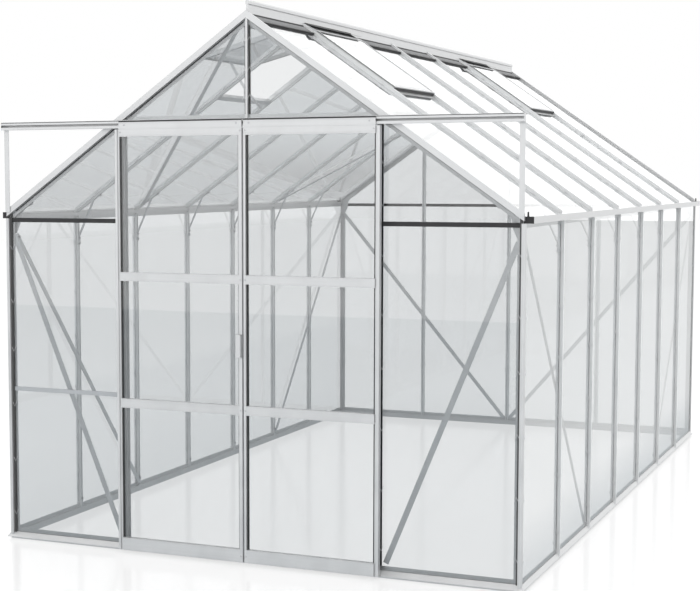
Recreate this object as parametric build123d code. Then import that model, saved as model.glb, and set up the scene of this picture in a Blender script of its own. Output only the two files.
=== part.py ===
"""Free-standing glazed greenhouse, 4 bays wide and 7 bays long, with a double sliding door.

All sizes are millimetres. X runs across the front gable, Y from the front to the rear, Z up.
The outer face of the front glass is the plane Y = 0, and the ground is Z = 0.
"""
import math
import os

from build123d import *

os.makedirs("parts", exist_ok=True)

# ---------------------------------------------------------------- driving sizes
BAY = 620.0                      # spacing of the glazing bars
BAYS_LONG = 7
SIDE_STEP = 12.0                 # side glass outside the last gable grid line
HALF_W = 2 * BAY + SIDE_STEP     # centre line to the outer face of the side glass
LENGTH = BAYS_LONG * BAY         # front glass face to rear glass face
GLASS_T = 3.0
SEAL_T = 1.5
SEAL_W = 8.0
WALL_T = 1.8                     # wall of the extrusions

NOSE_W, NOSE_OUT = 10.0, 12.0    # outer rib of a gable bar
TALL_NOSE = 15.0                 # outer rib of the side and roof bars
PANE_GAP = 6.0                   # bar centre to the edge of a pane
FLANGE_W, FLANGE_T = 28.0, 2.0
CHANNEL_W, CHANNEL_D = 16.0, 9.0
SLOT_W = 7.0

CORNER_OUT = 18.0                # corner posts and gable rafters stand this far out in front
CORNER_SIDE = 6.0                # corner posts outside the side glass
CORNER_BEVEL = 6.0
GASKET_W, GASKET_OUT = 10.0, 6.0 # rubber between a corner post and the gable glass

SILL_TOP = 31.0
SILL_FLANGE_TOP = SILL_TOP + 19
SILL_BODY, SILL_LIP_OUT, SILL_LIP_Z = 10.0, 26.0, 12.0
SIDE_BODY, SIDE_LIP_OUT = 4.0, 15.5

GUTTER_BOTTOM = 1539.0
GUTTER_TOP = GUTTER_BOTTOM + 29
BEAM_TOP = GUTTER_BOTTOM + 15    # eave beam behind the trough
BEAM_OUT = 2.0                   # side glass face to the trough's inner face
GUTTER_OUT = 33.0                # side glass face to the outer face of the gutter
GUTTER_START = 9.0               # front glass face to the end of the gutter
CAP_T, CAP_IN = 6.0, -8.5        # thickness and inner edge of the gutter's end caps
EAVE_FLANGE_BOTTOM = GUTTER_BOTTOM - 18
ROOF_EDGE_X = HALF_W + BEAM_OUT  # lower ends of the roof bars and panes

ROOF_TAN = 0.7009
ROOF_RISE = 40.473               # gutter bottom to the outer roof plane above the side glass
RIDGE_LINE_Z = GUTTER_BOTTOM + ROOF_RISE + ROOF_TAN * HALF_W     # outer roof planes meet here
RAFTER_FACE = 26.0               # depth of the gable rafters, square to the roof
RAFTER_FLANGE = 20.0             # their gable flange reaches this much deeper
RIDGE_HALF_W = 16.0              # box under the roof planes
RIDGE_WEB = 6.0                  # half of the web that stands on it
RIDGE_SHOULDER = 21.0            # top of the box below the ridge line
RIDGE_BODY_BOTTOM = RIDGE_LINE_Z - 69
RIDGE_NECK_Z = RIDGE_LINE_Z + 24
RIDGE_CAP_H = 22.0
RIDGE_TOP = RIDGE_NECK_Z + RIDGE_CAP_H
RIDGE_WING_END = RIDGE_HALF_W + 34
ABOVE = RIDGE_TOP + 100          # clear of everything, for cutting blocks

STRIP_Z, STRIP_H = GUTTER_BOTTOM - 7, 20.0       # strip between lower and upper gable panes
MID_BAR_Z = 727.0
HEADER_DROP = 60.442             # roof plane over a door post to the header's underside
HEADER_BOTTOM = RIDGE_LINE_Z - ROOF_TAN * BAY - HEADER_DROP
HEADER_TOP = HEADER_BOTTOM + 27
HEADER_FLANGE_TOP = HEADER_TOP + 18
HEADER_OUT = 20.0

TRACK_DEPTH, TRACK_H, TRACK_T = 28.0, 36.0, 2.0
TRACK_BACK = -HEADER_OUT
TRACK_FRONT = TRACK_BACK - TRACK_DEPTH
TRACK_BOTTOM = HEADER_BOTTOM - 9
TRACK_TOP = TRACK_BOTTOM + TRACK_H
TRACK_LIP = 11.5                 # lower lip of the front slot
TRACK_SLOT = 10.5
TRACK_GROOVE = (1.5, 5.0)        # shadow groove, from the top
GROOVE_D = 3.0
TRACK_LIP_LOW = TRACK_BOTTOM + TRACK_LIP
TRACK_LIP_HIGH = TRACK_LIP_LOW + TRACK_SLOT
TRACK_HALF = HALF_W + 1
STAY_W, STAY_T = 24.0, 3.0       # upright strips at the track ends

LEAF_IN, LEAF_OUT = 4.0, BAY + 18                # closed leaf, nearest and farthest edge
LEAF_T = 25.0
LEAF_FRONT = TRACK_FRONT - 8
LEAF_BACK = LEAF_FRONT + LEAF_T
LEAF_BOTTOM = 13.0
LEAF_TOP = TRACK_BOTTOM - 6      # clear of the track that it slides along
LIP_W, STEP_W, STEP_BACK = 11.0, 20.0, 6.0
MEET_W = {"right": 10.0, "left": 16.0}
PLATE_T = 2.5
TOP_RAIL_H, PLATE_RISE = 32.0, 33.0
TOP_PLATE = (LEAF_TOP - TOP_RAIL_H, LEAF_TOP + PLATE_RISE)
UPPER_RAIL_Z, UPPER_RAIL_H = 1261.0, 40.0
LOWER_RAIL_Z, LOWER_RAIL_H = 678.0, 42.0
BOTTOM_RAIL_H = 58.0
MID_RAILS = ((UPPER_RAIL_Z, UPPER_RAIL_Z + UPPER_RAIL_H),
             (LOWER_RAIL_Z, LOWER_RAIL_Z + LOWER_RAIL_H))
BOTTOM_RAIL = (LEAF_BOTTOM, LEAF_BOTTOM + BOTTOM_RAIL_H)
LEAF_GLASS_FRONT = LEAF_FRONT + 12
ROLLER_R, ROLLER_W, AXLE_R = 14.5, 12.0, 3.0
ROLLER_GAP = 0.3                 # roller above the floor of the track
ROLLER_Z = TRACK_BOTTOM + TRACK_T + ROLLER_GAP + ROLLER_R
ROLLER_INSET = 80.0
HANDLE_W, HANDLE_H, HANDLE_OUT, HANDLE_Z = 24.0, 102.0, 20.0, 988.0

BRACE_W, BRACE_T = 25.0, 3.0
VENT_BAYS = (1, 5)               # vents fill the roof bays that start at these bars
VENT_LOW_X = 448.0               # lower edge of a closed vent, from the ridge line
VENT_OPEN_DEG = 21.0
VENT_HINGE_Z, VENT_BEAD_R = RIDGE_LINE_Z - 7, 4.0
VENT_FRAME_W, VENT_FRAME_D = 24.0, 23.0
VENT_SILL = (VENT_LOW_X - 10, VENT_LOW_X + 14)   # edges of the bar below a vent

# ---------------------------------------------------------------- derived sizes
ANGLE = math.atan(ROOF_TAN)
COS, SIN = math.cos(ANGLE), math.sin(ANGLE)
BACK_N = -(GLASS_T + SEAL_T + FLANGE_T)          # inner face of the flanges
INNER_N = BACK_N - CHANNEL_D                     # inner face of the channels
PANE_S = 12.0                                    # roof plane to outer roof glass face
POST_IN = -CORNER_OUT + CORNER_SIDE              # inner edge of a corner post, from the side glass
GRID = [BAY * k for k in range(1, BAYS_LONG)]


def rect(u0, u1, n0, n1):
    """Rectangle between two corners in the local plane."""
    return Pos((u0 + u1) / 2, (n0 + n1) / 2) * Rectangle(abs(u1 - u0), abs(n1 - n0))


def block(x0, x1, y0, y1, z0, z1):
    """Axis-aligned box between two corners."""
    centre = Pos((x0 + x1) / 2, (y0 + y1) / 2, (z0 + z1) / 2)
    return centre * Box(abs(x1 - x0), abs(y1 - y0), abs(z1 - z0))


def polygon(points):
    """Filled polygon in the local XY plane."""
    return make_face(Polyline(*points, close=True))


def prism(points, axis, start, end):
    """Extrude a polygon. Its points are (X, Z) along Y, (Y, Z) along X, (X, Y) along Z."""
    planes = {"x": Plane((start, 0, 0), x_dir=(0, 1, 0), z_dir=(1, 0, 0)),
              "y": Plane((0, start, 0), x_dir=(1, 0, 0), z_dir=(0, -1, 0)),
              "z": Plane((0, 0, start))}
    ways = {"x": (1, 0, 0), "y": (0, 1, 0), "z": (0, 0, 1)}
    return extrude(planes[axis] * polygon(points), amount=end - start, dir=ways[axis])


def run(section, start, end, normal):
    """Extrude a section from start to end with its local Y along the outward normal."""
    begin, stop, outward = Vector(*start), Vector(*end), Vector(*normal)
    along = (stop - begin).normalized()
    plane = Plane(begin, x_dir=outward.cross(along), z_dir=along)
    return extrude(plane * section, amount=(stop - begin).length, dir=along)


def save(name, *shapes):
    """Write one node. Its shapes do not touch each other."""
    solids = [solid for shape in shapes for solid in shape.solids()]
    for solid in solids:
        assert solid.is_valid and solid.volume > 1, name
    export_step(solids[0] if len(solids) == 1 else Compound(children=solids),
                f"parts/{name}.step")


def sides(shape):
    """A shape on the right and its mirror image on the left."""
    return shape, mirror(shape, about=Plane.YZ)


def to_rear(shape):
    """Mirror a front shape to the rear gable."""
    return mirror(shape, about=Plane((0, LENGTH / 2, 0), x_dir=(1, 0, 0), z_dir=(0, 1, 0)))


def roof_z(x, depth=0.0):
    """Height of the plane that lies this far below the outer roof plane."""
    return RIDGE_LINE_Z - depth / COS - ROOF_TAN * abs(x)


# ---------------------------------------------------------------- sections
channel = rect(-CHANNEL_W / 2, CHANNEL_W / 2, INNER_N, BACK_N) \
    - rect(-CHANNEL_W / 2 + WALL_T, CHANNEL_W / 2 - WALL_T, INNER_N + WALL_T, BACK_N) \
    - rect(-SLOT_W / 2, SLOT_W / 2, INNER_N, BACK_N)


def bar_profile(nose_out):
    """Glazing bar: channel inside, flange behind the panes and a hollow nose outside."""
    nose = rect(-NOSE_W / 2, NOSE_W / 2, BACK_N + FLANGE_T, nose_out) \
        - rect(-NOSE_W / 2 + WALL_T, NOSE_W / 2 - WALL_T, WALL_T, nose_out - WALL_T)
    return channel + nose + rect(-FLANGE_W / 2, FLANGE_W / 2, BACK_N, BACK_N + FLANGE_T)


bar_section, tall_section = bar_profile(NOSE_OUT), bar_profile(TALL_NOSE)

# Corner post, drawn as (X, Y) for the front right corner with both glass faces at zero.
tube = polygon([(POST_IN, -CORNER_OUT), (CORNER_SIDE - CORNER_BEVEL, -CORNER_OUT),
                (CORNER_SIDE, -CORNER_OUT + CORNER_BEVEL), (CORNER_SIDE, 0), (POST_IN, 0)])
tube_hollow = polygon([(POST_IN + 2, -CORNER_OUT + 2),
                       (CORNER_SIDE - CORNER_BEVEL - 1, -CORNER_OUT + 2),
                       (CORNER_SIDE - 2, -CORNER_OUT + CORNER_BEVEL + 1), (CORNER_SIDE - 2, -2),
                       (POST_IN + 2, -2)])
seat = -(BACK_N + FLANGE_T)
corner_section = tube - tube_hollow - rect(POST_IN + 5, POST_IN + 7, -CORNER_OUT, -CORNER_OUT + 1) \
    + rect(BACK_N, 2, -2, -BACK_N) \
    + rect(-34, BACK_N, seat, -BACK_N) + rect(BACK_N, -seat, -BACK_N, 26) \
    + rect(BACK_N - CHANNEL_D, BACK_N, -BACK_N, -INNER_N) \
    - rect(BACK_N - CHANNEL_D + WALL_T, BACK_N - WALL_T, -BACK_N + WALL_T, -INNER_N - WALL_T)

lip_low = SILL_LIP_Z - 3


def sill_profile(body, lip_out):
    """Outline and hollow of a sill as (n, Z), n measured from the glass."""
    outline = [(INNER_N, 0), (body, 0), (body, lip_low), (lip_out, lip_low), (lip_out, SILL_LIP_Z),
               (3, SILL_TOP), (BACK_N + FLANGE_T, SILL_TOP), (BACK_N + FLANGE_T, SILL_FLANGE_TOP),
               (BACK_N, SILL_FLANGE_TOP), (BACK_N, SILL_TOP), (INNER_N, SILL_TOP)]
    hollow = [(INNER_N + 2, 2), (body - 2, 2), (body - 2, SILL_LIP_Z - 0.5),
              (lip_out - 6, SILL_LIP_Z - 0.5), (1.5, SILL_TOP - 2.2), (INNER_N + 2, SILL_TOP - 2.2)]
    return outline, hollow


gutter_outline = [(INNER_N, GUTTER_BOTTOM), (BACK_N, GUTTER_BOTTOM), (BACK_N, EAVE_FLANGE_BOTTOM),
                  (BACK_N + FLANGE_T, EAVE_FLANGE_BOTTOM), (BACK_N + FLANGE_T, GUTTER_BOTTOM),
                  (GUTTER_OUT, GUTTER_BOTTOM), (GUTTER_OUT, GUTTER_TOP),
                  (GUTTER_OUT - 2, GUTTER_TOP), (GUTTER_OUT - 2, GUTTER_BOTTOM + 2),
                  (BEAM_OUT, GUTTER_BOTTOM + 2), (BEAM_OUT, BEAM_TOP), (INNER_N, BEAM_TOP)]
gutter_hollow = [(INNER_N + 2, GUTTER_BOTTOM + 2), (BEAM_OUT - 2, GUTTER_BOTTOM + 2),
                 (BEAM_OUT - 2, BEAM_TOP - 2), (INNER_N + 2, BEAM_TOP - 2)]


def side_frame(outline, y0, y1):
    """Extrude an (n, Z) outline along the right side, n measured from the side glass."""
    return prism([(HALF_W + n, z) for n, z in outline], "y", y0, y1)


def front_frame(outline, x0, x1):
    """Extrude an (n, Z) outline along the front, n measured from the front glass."""
    return prism([(-n, z) for n, z in outline], "x", x0, x1)


# ---------------------------------------------------------------- base sills, mitred
REACH = 60.0
side_outline, side_hollow = sill_profile(SIDE_BODY, SIDE_LIP_OUT)
front_outline, front_hollow = sill_profile(SILL_BODY, SILL_LIP_OUT)
mitre_in = (HALF_W + INNER_N, -INNER_N)
mitre_out = (HALF_W + SIDE_LIP_OUT, -SILL_LIP_OUT)
step_x, step_y = mitre_out[0] - mitre_in[0], mitre_out[1] - mitre_in[1]
near_x, near_y = mitre_in[0] - 8 * step_x, mitre_in[1] - 8 * step_y
far_x, far_y = mitre_out[0] + step_x, mitre_out[1] + step_y
mitre_side = prism([(near_x, near_y), (far_x, far_y), (far_x, LENGTH - far_y),
                    (near_x, LENGTH - near_y)], "z", -5, 80)
mitre_front = prism([(-far_x, far_y), (far_x, far_y), (near_x, near_y), (-near_x, near_y)],
                    "z", -5, 80)
sill_fill_side = side_frame(side_outline, -REACH, LENGTH + REACH)
sill_fill_front = front_frame(front_outline, -HALF_W - REACH, HALF_W + REACH)
sill_solids = (sill_fill_side & mitre_side) + (sill_fill_front & mitre_front)
sill_right = (sill_fill_side - side_frame(side_hollow, -REACH, LENGTH + REACH)) & mitre_side
sill_front_full = (sill_fill_front
                   - front_frame(front_hollow, -HALF_W - REACH, HALF_W + REACH)) & mitre_front
threshold_cut = block(-BAY + 14, BAY - 14, -10, 30, SILL_TOP, SILL_FLANGE_TOP + 5)
save("sill_front", sill_front_full - threshold_cut)
save("sill_rear", to_rear(sill_front_full))
save("sill_right", sill_right)
save("sill_left", mirror(sill_right, about=Plane.YZ))

# ---------------------------------------------------------------- eave gutters
gutter_fill = side_frame(gutter_outline, GUTTER_START, LENGTH - GUTTER_START)
gutter = gutter_fill - side_frame(gutter_hollow, GUTTER_START, LENGTH - GUTTER_START)
post_top = block(HALF_W + POST_IN - 1, HALF_W + GUTTER_OUT, -CORNER_OUT, GUTTER_START,
                 GUTTER_BOTTOM, ABOVE)
cap_place = block(HALF_W + CAP_IN - 0.5, HALF_W + GUTTER_OUT, 0, GUTTER_START, GUTTER_BOTTOM, ABOVE)
save("gutters", *sides(gutter))

# ---------------------------------------------------------------- gable rafters
# Drawn as (Y, s), s measured square to the roof below the outer roof plane.
rafter_rects = {
    "tube": (-CORNER_OUT, 0, 0, RAFTER_FACE),
    "neck": (-2, seat, PANE_S + seat, RAFTER_FACE - 4),
    "gable_flange": (seat, -BACK_N, PANE_S + seat, RAFTER_FACE + RAFTER_FLANGE),
    "roof_flange": (seat, 26, PANE_S + seat, PANE_S - BACK_N),
    "box": (-BACK_N, -INNER_N, PANE_S - BACK_N, PANE_S - INNER_N),
}
RAFTER_END = HALF_W - 2


def slope_bar(y0, y1, s0, s1, reach=RAFTER_END):
    """Bar on the right slope from the ridge plane to a given X, square-cut at both ends."""
    points = [(0, roof_z(0, s0)), (reach, roof_z(reach, s0)),
              (reach, roof_z(reach, s1)), (0, roof_z(0, s1))]
    return prism(points, "y", y0, y1)


rafter = None
for rect_sizes in rafter_rects.values():
    piece = slope_bar(*rect_sizes)
    rafter = piece if rafter is None else rafter + piece
rafter -= slope_bar(-CORNER_OUT + 2, -2, 2, RAFTER_FACE - 2, RAFTER_END - 2)
rafter -= slope_bar(-BACK_N + WALL_T, -INNER_N - WALL_T, PANE_S - BACK_N + WALL_T,
                    PANE_S - INNER_N - WALL_T)
rafter -= gutter_fill + cap_place
rafter -= block(0, RIDGE_HALF_W, -BACK_N, LENGTH, RIDGE_BODY_BOTTOM, RIDGE_TOP)
rafter = max(rafter.solids(), key=lambda solid: solid.volume)
save("gable_rafters_right", rafter, to_rear(rafter))
save("gable_rafters_left", *[mirror(part, about=Plane.YZ) for part in (rafter, to_rear(rafter))])

rafter_cut = (slope_bar(-40, 0, -80, RAFTER_FACE)
              + slope_bar(0, -BACK_N, -80, RAFTER_FACE + RAFTER_FLANGE)
              + slope_bar(-BACK_N, 40, -80, PANE_S - INNER_N))
rafter_cut = rafter_cut + mirror(rafter_cut, about=Plane.YZ)

# ---------------------------------------------------------------- ridge
wing_out = RIDGE_WING_END
shoulder_z = RIDGE_LINE_Z - RIDGE_SHOULDER
ridge_half = [
    (0, RIDGE_BODY_BOTTOM), (RIDGE_HALF_W, RIDGE_BODY_BOTTOM),
    (RIDGE_HALF_W, roof_z(RIDGE_HALF_W, PANE_S) + 2), (wing_out, roof_z(wing_out, PANE_S) + 2),
    (wing_out, roof_z(wing_out, PANE_S) + 5), (RIDGE_HALF_W, shoulder_z),
    (RIDGE_WEB, shoulder_z), (RIDGE_WEB, RIDGE_NECK_Z), (RIDGE_WEB - 3, RIDGE_NECK_Z),
    (RIDGE_WEB - 3, RIDGE_NECK_Z + 4), (RIDGE_WEB + 3, RIDGE_NECK_Z + 4),
    (RIDGE_WEB + 3, RIDGE_TOP - 6), (RIDGE_WEB - 1, RIDGE_TOP), (0, RIDGE_TOP)]
ridge_outline = ridge_half + [(-x, z) for x, z in reversed(ridge_half)][1:-1]
ridge_core = [(0, RIDGE_BODY_BOTTOM + 2), (RIDGE_HALF_W - 2, RIDGE_BODY_BOTTOM + 2),
              (RIDGE_HALF_W - 2, shoulder_z - 2.5), (RIDGE_WEB - 2, shoulder_z - 2.5),
              (RIDGE_WEB - 2, RIDGE_NECK_Z - 3), (0, RIDGE_NECK_Z - 3)]
ridge_core += [(-x, z) for x, z in reversed(ridge_core)][1:-1]
ridge_fill = prism(ridge_outline, "y", -BACK_N, LENGTH + BACK_N)
ridge = ridge_fill - prism(ridge_core, "y", -BACK_N, LENGTH + BACK_N)
cap_side = [(x, z) for x, z in ridge_half if z >= RIDGE_NECK_Z]
ridge_cap = [(0, RIDGE_LINE_Z), (RIDGE_WEB, roof_z(RIDGE_WEB)), *cap_side]
ridge_cap += [(-x, z) for x, z in reversed(ridge_cap)][1:-1]
front_cap = prism(ridge_cap, "y", 0, -BACK_N)
ridge = ridge + front_cap + to_rear(front_cap)
save("ridge", ridge)

# ---------------------------------------------------------------- posts and bars
post = extrude(Plane((HALF_W, 0, SILL_LIP_Z)) * corner_section, amount=roof_z(HALF_W),
               dir=(0, 0, 1))
post = post - sill_solids - gutter_fill - rafter_cut - post_top
post = max(post.solids(), key=lambda solid: solid.volume)
save("corner_posts", *sides(post), *sides(to_rear(post)))

GASKET_END = HALF_W + POST_IN - GASKET_W
gasket = block(GASKET_END, HALF_W + POST_IN, -GASKET_OUT, 0, SILL_LIP_Z, ABOVE)
gasket = gasket - sill_fill_front - rafter_cut
gasket = max(gasket.solids(), key=lambda solid: solid.volume)
save("corner_gaskets", *sides(gasket), *sides(to_rear(gasket)))


def front_bar(x, z0, z1):
    """Vertical bar in the front gable."""
    return run(bar_section, (x, 0, z0), (x, 0, z1), (0, -1, 0))


door_post = front_bar(BAY, SILL_LIP_Z, ABOVE) - sill_fill_front - rafter_cut
door_post = max(door_post.solids(), key=lambda solid: solid.volume)
save("door_posts", *sides(door_post))

side_bars = [run(tall_section, (HALF_W, y, SILL_LIP_Z), (HALF_W, y, GUTTER_BOTTOM), (1, 0, 0))
             - sill_fill_side - gutter_fill for y in GRID]
save("side_bars_right", *side_bars)
save("side_bars_left", *[mirror(bar, about=Plane.YZ) for bar in side_bars])

header_outline = [(INNER_N, HEADER_BOTTOM), (HEADER_OUT, HEADER_BOTTOM), (HEADER_OUT, HEADER_TOP),
                  (BACK_N + FLANGE_T, HEADER_TOP), (BACK_N + FLANGE_T, HEADER_FLANGE_TOP),
                  (BACK_N, HEADER_FLANGE_TOP), (BACK_N, HEADER_TOP), (INNER_N, HEADER_TOP)]
header_hollow = [(INNER_N + 2, HEADER_BOTTOM + 2), (HEADER_OUT - 2, HEADER_BOTTOM + 2),
                 (HEADER_OUT - 2, HEADER_TOP - 2), (INNER_N + 2, HEADER_TOP - 2)]
header_fill = front_frame(header_outline, -BAY, BAY)
header = header_fill - front_frame(header_hollow, -BAY, BAY) - rafter_cut
for upright in sides(front_bar(BAY, 0, ABOVE)):
    header -= upright
header = max(header.solids(), key=lambda solid: solid.volume)
save("door_header", header)

gable_post = front_bar(0, HEADER_BOTTOM, ABOVE) - header_fill - rafter_cut - ridge_fill
gable_post = max(gable_post.solids(), key=lambda solid: solid.volume)
save("gable_post", gable_post)

rear_bars = []
for x in (-BAY, 0, BAY):
    bar = front_bar(x, SILL_LIP_Z, ABOVE) - sill_fill_front - rafter_cut - ridge_fill
    rear_bars.append(to_rear(max(bar.solids(), key=lambda solid: solid.volume)))
save("rear_bars", *rear_bars)

# Roof bars run from the ridge to just above the gutter.
slope = (COS, 0, -SIN)
outward = (SIN, 0, COS)


def on_roof(x, y, n):
    """Point above the outer face of the right roof glass, n measured square to it."""
    return (x + n * SIN, y, roof_z(x, PANE_S) + n * COS)


gutter_tail = block(ROOF_EDGE_X, ROOF_EDGE_X + 200, -50, LENGTH + 50, 0, ABOVE)
roof_bars = []
for y in GRID:
    bar = run(tall_section, on_roof(0, y, 0), on_roof(ROOF_EDGE_X + 60, y, 0), outward)
    bar = bar - ridge_fill - gutter_fill - gutter_tail
    bar = bar - block(-200, RIDGE_WEB, y - 40, y + 40, 0, ABOVE)
    roof_bars.append(max(bar.solids(), key=lambda solid: solid.volume))
save("roof_bars_right", *roof_bars)
save("roof_bars_left", *[mirror(bar, about=Plane.YZ) for bar in roof_bars])

# ---------------------------------------------------------------- glass
PANE = (0.0, GLASS_T)
EDGE = PANE_GAP                  # pane edge from a bar centre
CORNER_EDGE = 7.0                # pane edge from the corner glass faces
STRIP_WEB = 1.5                  # half of the web between stacked panes


def gable_pane(x0, x1, z0, depth):
    """Pane under the right rafter from z0 up to the plane at this depth."""
    return prism([(x0, z0), (x1, z0), (x1, max(z0 + 0.1, roof_z(x1, depth))),
                  (x0, roof_z(x0, depth))], "y", *PANE)


RAFTER_EDGE = RAFTER_FACE + 2
side_x0, side_x1 = BAY + EDGE, HALF_W - CORNER_EDGE
tip_x = (RIDGE_LINE_Z - RAFTER_EDGE / COS - STRIP_Z - STRIP_WEB) / ROOF_TAN
upper_side = prism([(side_x0, STRIP_Z + STRIP_WEB), (min(tip_x, side_x1), STRIP_Z + STRIP_WEB),
                    (min(tip_x, side_x1), max(roof_z(min(tip_x, side_x1), RAFTER_EDGE),
                                              STRIP_Z + STRIP_WEB + 1)),
                    (side_x0, roof_z(side_x0, RAFTER_EDGE))], "y", *PANE)
over_door = gable_pane(EDGE, (RIDGE_LINE_Z - RAFTER_EDGE / COS - HEADER_TOP) / ROOF_TAN - 8,
                       HEADER_TOP, RAFTER_EDGE)
right_low = block(side_x0, side_x1, *PANE, SILL_TOP, STRIP_Z - STRIP_WEB)
left_low = block(-side_x1, -side_x0, *PANE, SILL_TOP, MID_BAR_Z - STRIP_WEB)
left_mid = block(-side_x1, -side_x0, *PANE, MID_BAR_Z + STRIP_WEB, STRIP_Z - STRIP_WEB)
save("glass_front", right_low, left_low, left_mid, *sides(upper_side), *sides(over_door))

rear_low_in = block(EDGE, BAY - EDGE, *PANE, SILL_TOP, STRIP_Z - STRIP_WEB)
rear_low_out = block(side_x0, side_x1, *PANE, SILL_TOP, STRIP_Z - STRIP_WEB)
rear_up_in = gable_pane(EDGE, BAY - EDGE, STRIP_Z + STRIP_WEB, RAFTER_EDGE)
save("glass_rear", *[to_rear(pane) for shape in (rear_low_in, rear_low_out, rear_up_in, upper_side)
                     for pane in sides(shape)])

side_panes = []
for k in range(BAYS_LONG):
    y0 = BAY * k + (CORNER_EDGE if k == 0 else EDGE)
    y1 = BAY * (k + 1) - (CORNER_EDGE if k == BAYS_LONG - 1 else EDGE)
    side_panes.append(block(HALF_W - GLASS_T, HALF_W, y0, y1, SILL_TOP, GUTTER_BOTTOM))
save("glass_right", *side_panes)
save("glass_left", *[mirror(pane, about=Plane.YZ) for pane in side_panes])

ROOF_PANE_TOP_X = RIDGE_HALF_W + 4


def roof_pane(x0, x1, y0, y1, n0=-GLASS_T, n1=0.0):
    """Slab lying on the right slope between two X values, n square to the roof glass."""
    points = [(on_roof(x0, 0, n0)[0], on_roof(x0, 0, n0)[2]),
              (on_roof(x1, 0, n0)[0], on_roof(x1, 0, n0)[2]),
              (on_roof(x1, 0, n1)[0], on_roof(x1, 0, n1)[2]),
              (on_roof(x0, 0, n1)[0], on_roof(x0, 0, n1)[2])]
    return prism(points, "y", y0, y1)


roof_panes, top_seals = [], []
for k in range(BAYS_LONG):
    y0 = BAY * k + (CORNER_EDGE if k == 0 else EDGE)
    y1 = BAY * (k + 1) - (CORNER_EDGE if k == BAYS_LONG - 1 else EDGE)
    top = VENT_SILL[1] if k in VENT_BAYS else ROOF_PANE_TOP_X
    roof_panes.append(roof_pane(top, ROOF_EDGE_X, y0, y1))
    if k not in VENT_BAYS:
        top_seals.append(roof_pane(36, 64, y0, y1, 0, 1.6) - ridge_fill)
save("roof_glass_right", *roof_panes)
save("roof_glass_left", *[mirror(pane, about=Plane.YZ) for pane in roof_panes])

# ---------------------------------------------------------------- glazing seals
seal_n = (-GLASS_T - SEAL_T, -GLASS_T)


def seal_pair():
    """Two seal strips beside a bar centre, between its flange and the panes."""
    return (rect(PANE_GAP, FLANGE_W / 2, *seal_n), rect(-FLANGE_W / 2, -PANE_GAP, *seal_n))


side_seals = []
for y in GRID:
    for strip in seal_pair():
        side_seals.append(run(strip, (HALF_W, y, SILL_FLANGE_TOP), (HALF_W, y, EAVE_FLANGE_BOTTOM),
                              (1, 0, 0)))
for y0, y1 in ((CORNER_EDGE, 14), (LENGTH - 14, LENGTH - CORNER_EDGE)):
    side_seals.append(block(HALF_W + seal_n[0], HALF_W + seal_n[1], y0, y1, SILL_FLANGE_TOP,
                            EAVE_FLANGE_BOTTOM))

SEAL_Y = (GLASS_T, GLASS_T + SEAL_T)
low_top = STRIP_Z - STRIP_H / 2
high_bottom = STRIP_Z + STRIP_H / 2


def upright_seals(x0, x1, z1):
    """Seal strip beside a gable upright from the sill to z1, split at the joint strip."""
    return block(x0, x1, *SEAL_Y, SILL_FLANGE_TOP, z1)


front_low_seals = [upright_seals(BAY + PANE_GAP, BAY + FLANGE_W / 2, low_top),
                   upright_seals(HALF_W - 14, HALF_W - CORNER_EDGE, low_top)]
FLANGE_S = RAFTER_FACE + RAFTER_FLANGE
HALF_FLANGE = FLANGE_W / 2


def tall_seal(x0, x1, z0):
    """Seal strip beside a gable upright, from z0 up to the rafter's flange."""
    return prism([(x0, z0), (x1, z0), (x1, roof_z(x1, FLANGE_S)), (x0, roof_z(x0, FLANGE_S))],
                 "y", *SEAL_Y)


front_high_seal = tall_seal(BAY + PANE_GAP, BAY + HALF_FLANGE, high_bottom)
post_seal = tall_seal(PANE_GAP, HALF_FLANGE, HEADER_FLANGE_TOP)
rafter_seal = slope_bar(*SEAL_Y, RAFTER_EDGE, RAFTER_EDGE + 3) \
    & block(20, tip_x - 60, -5, 10, high_bottom + 2, ABOVE)
rafter_seal = rafter_seal - block(BAY - 16, BAY + 16, -5, 10, 0, ABOVE)
rafter_seal = rafter_seal - block(0, BAY, -5, 10, 0, HEADER_FLANGE_TOP + 2)
left_low_seals = [mirror(seal, about=Plane.YZ) - block(-HALF_W, -BAY, 0, 10, MID_BAR_Z - 10,
                                                       MID_BAR_Z + 10)
                  for seal in front_low_seals]
front_seals = [*front_low_seals, *left_low_seals, *sides(front_high_seal), *sides(post_seal),
               *sides(rafter_seal)]
rear_post_low = upright_seals(PANE_GAP, HALF_FLANGE, low_top)
rear_in_low = upright_seals(BAY - HALF_FLANGE, BAY - PANE_GAP, low_top)
rear_post_high = tall_seal(PANE_GAP, HALF_FLANGE, high_bottom)
rear_in_high = tall_seal(BAY - HALF_FLANGE, BAY - PANE_GAP, high_bottom)
rear_seals = [to_rear(seal) for shape in (*front_low_seals, front_high_seal, rear_post_low,
                                          rear_in_low, rear_post_high, rear_in_high)
              for seal in sides(shape)]
wall_seals = [seal for shape in (*side_seals, *top_seals) for seal in sides(shape)]
save("glazing_seals", *front_seals, *rear_seals, *wall_seals)

# ---------------------------------------------------------------- joint strips


def joint_strip(x0, x1, z):
    """H-section strip that holds the lower pane's top edge and the upper pane's bottom edge."""
    half = STRIP_H / 2
    return (block(x0, x1, -2, 0, z - half, z + half)
            + block(x0, x1, 0, GLASS_T, z - STRIP_WEB, z + STRIP_WEB)
            + block(x0, x1, GLASS_T, GLASS_T + SEAL_T, z - half, z + half))


strip_side = joint_strip(BAY + PANE_GAP, GASKET_END, STRIP_Z)
strip_in = joint_strip(PANE_GAP, BAY - PANE_GAP, STRIP_Z)
save("eave_strips_front", *sides(strip_side))
save("eave_strips_rear", *[to_rear(part) for shape in (strip_side, strip_in)
                           for part in sides(shape)])
save("panel_mid_bar", joint_strip(-GASKET_END, -BAY - PANE_GAP, MID_BAR_Z))

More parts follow.
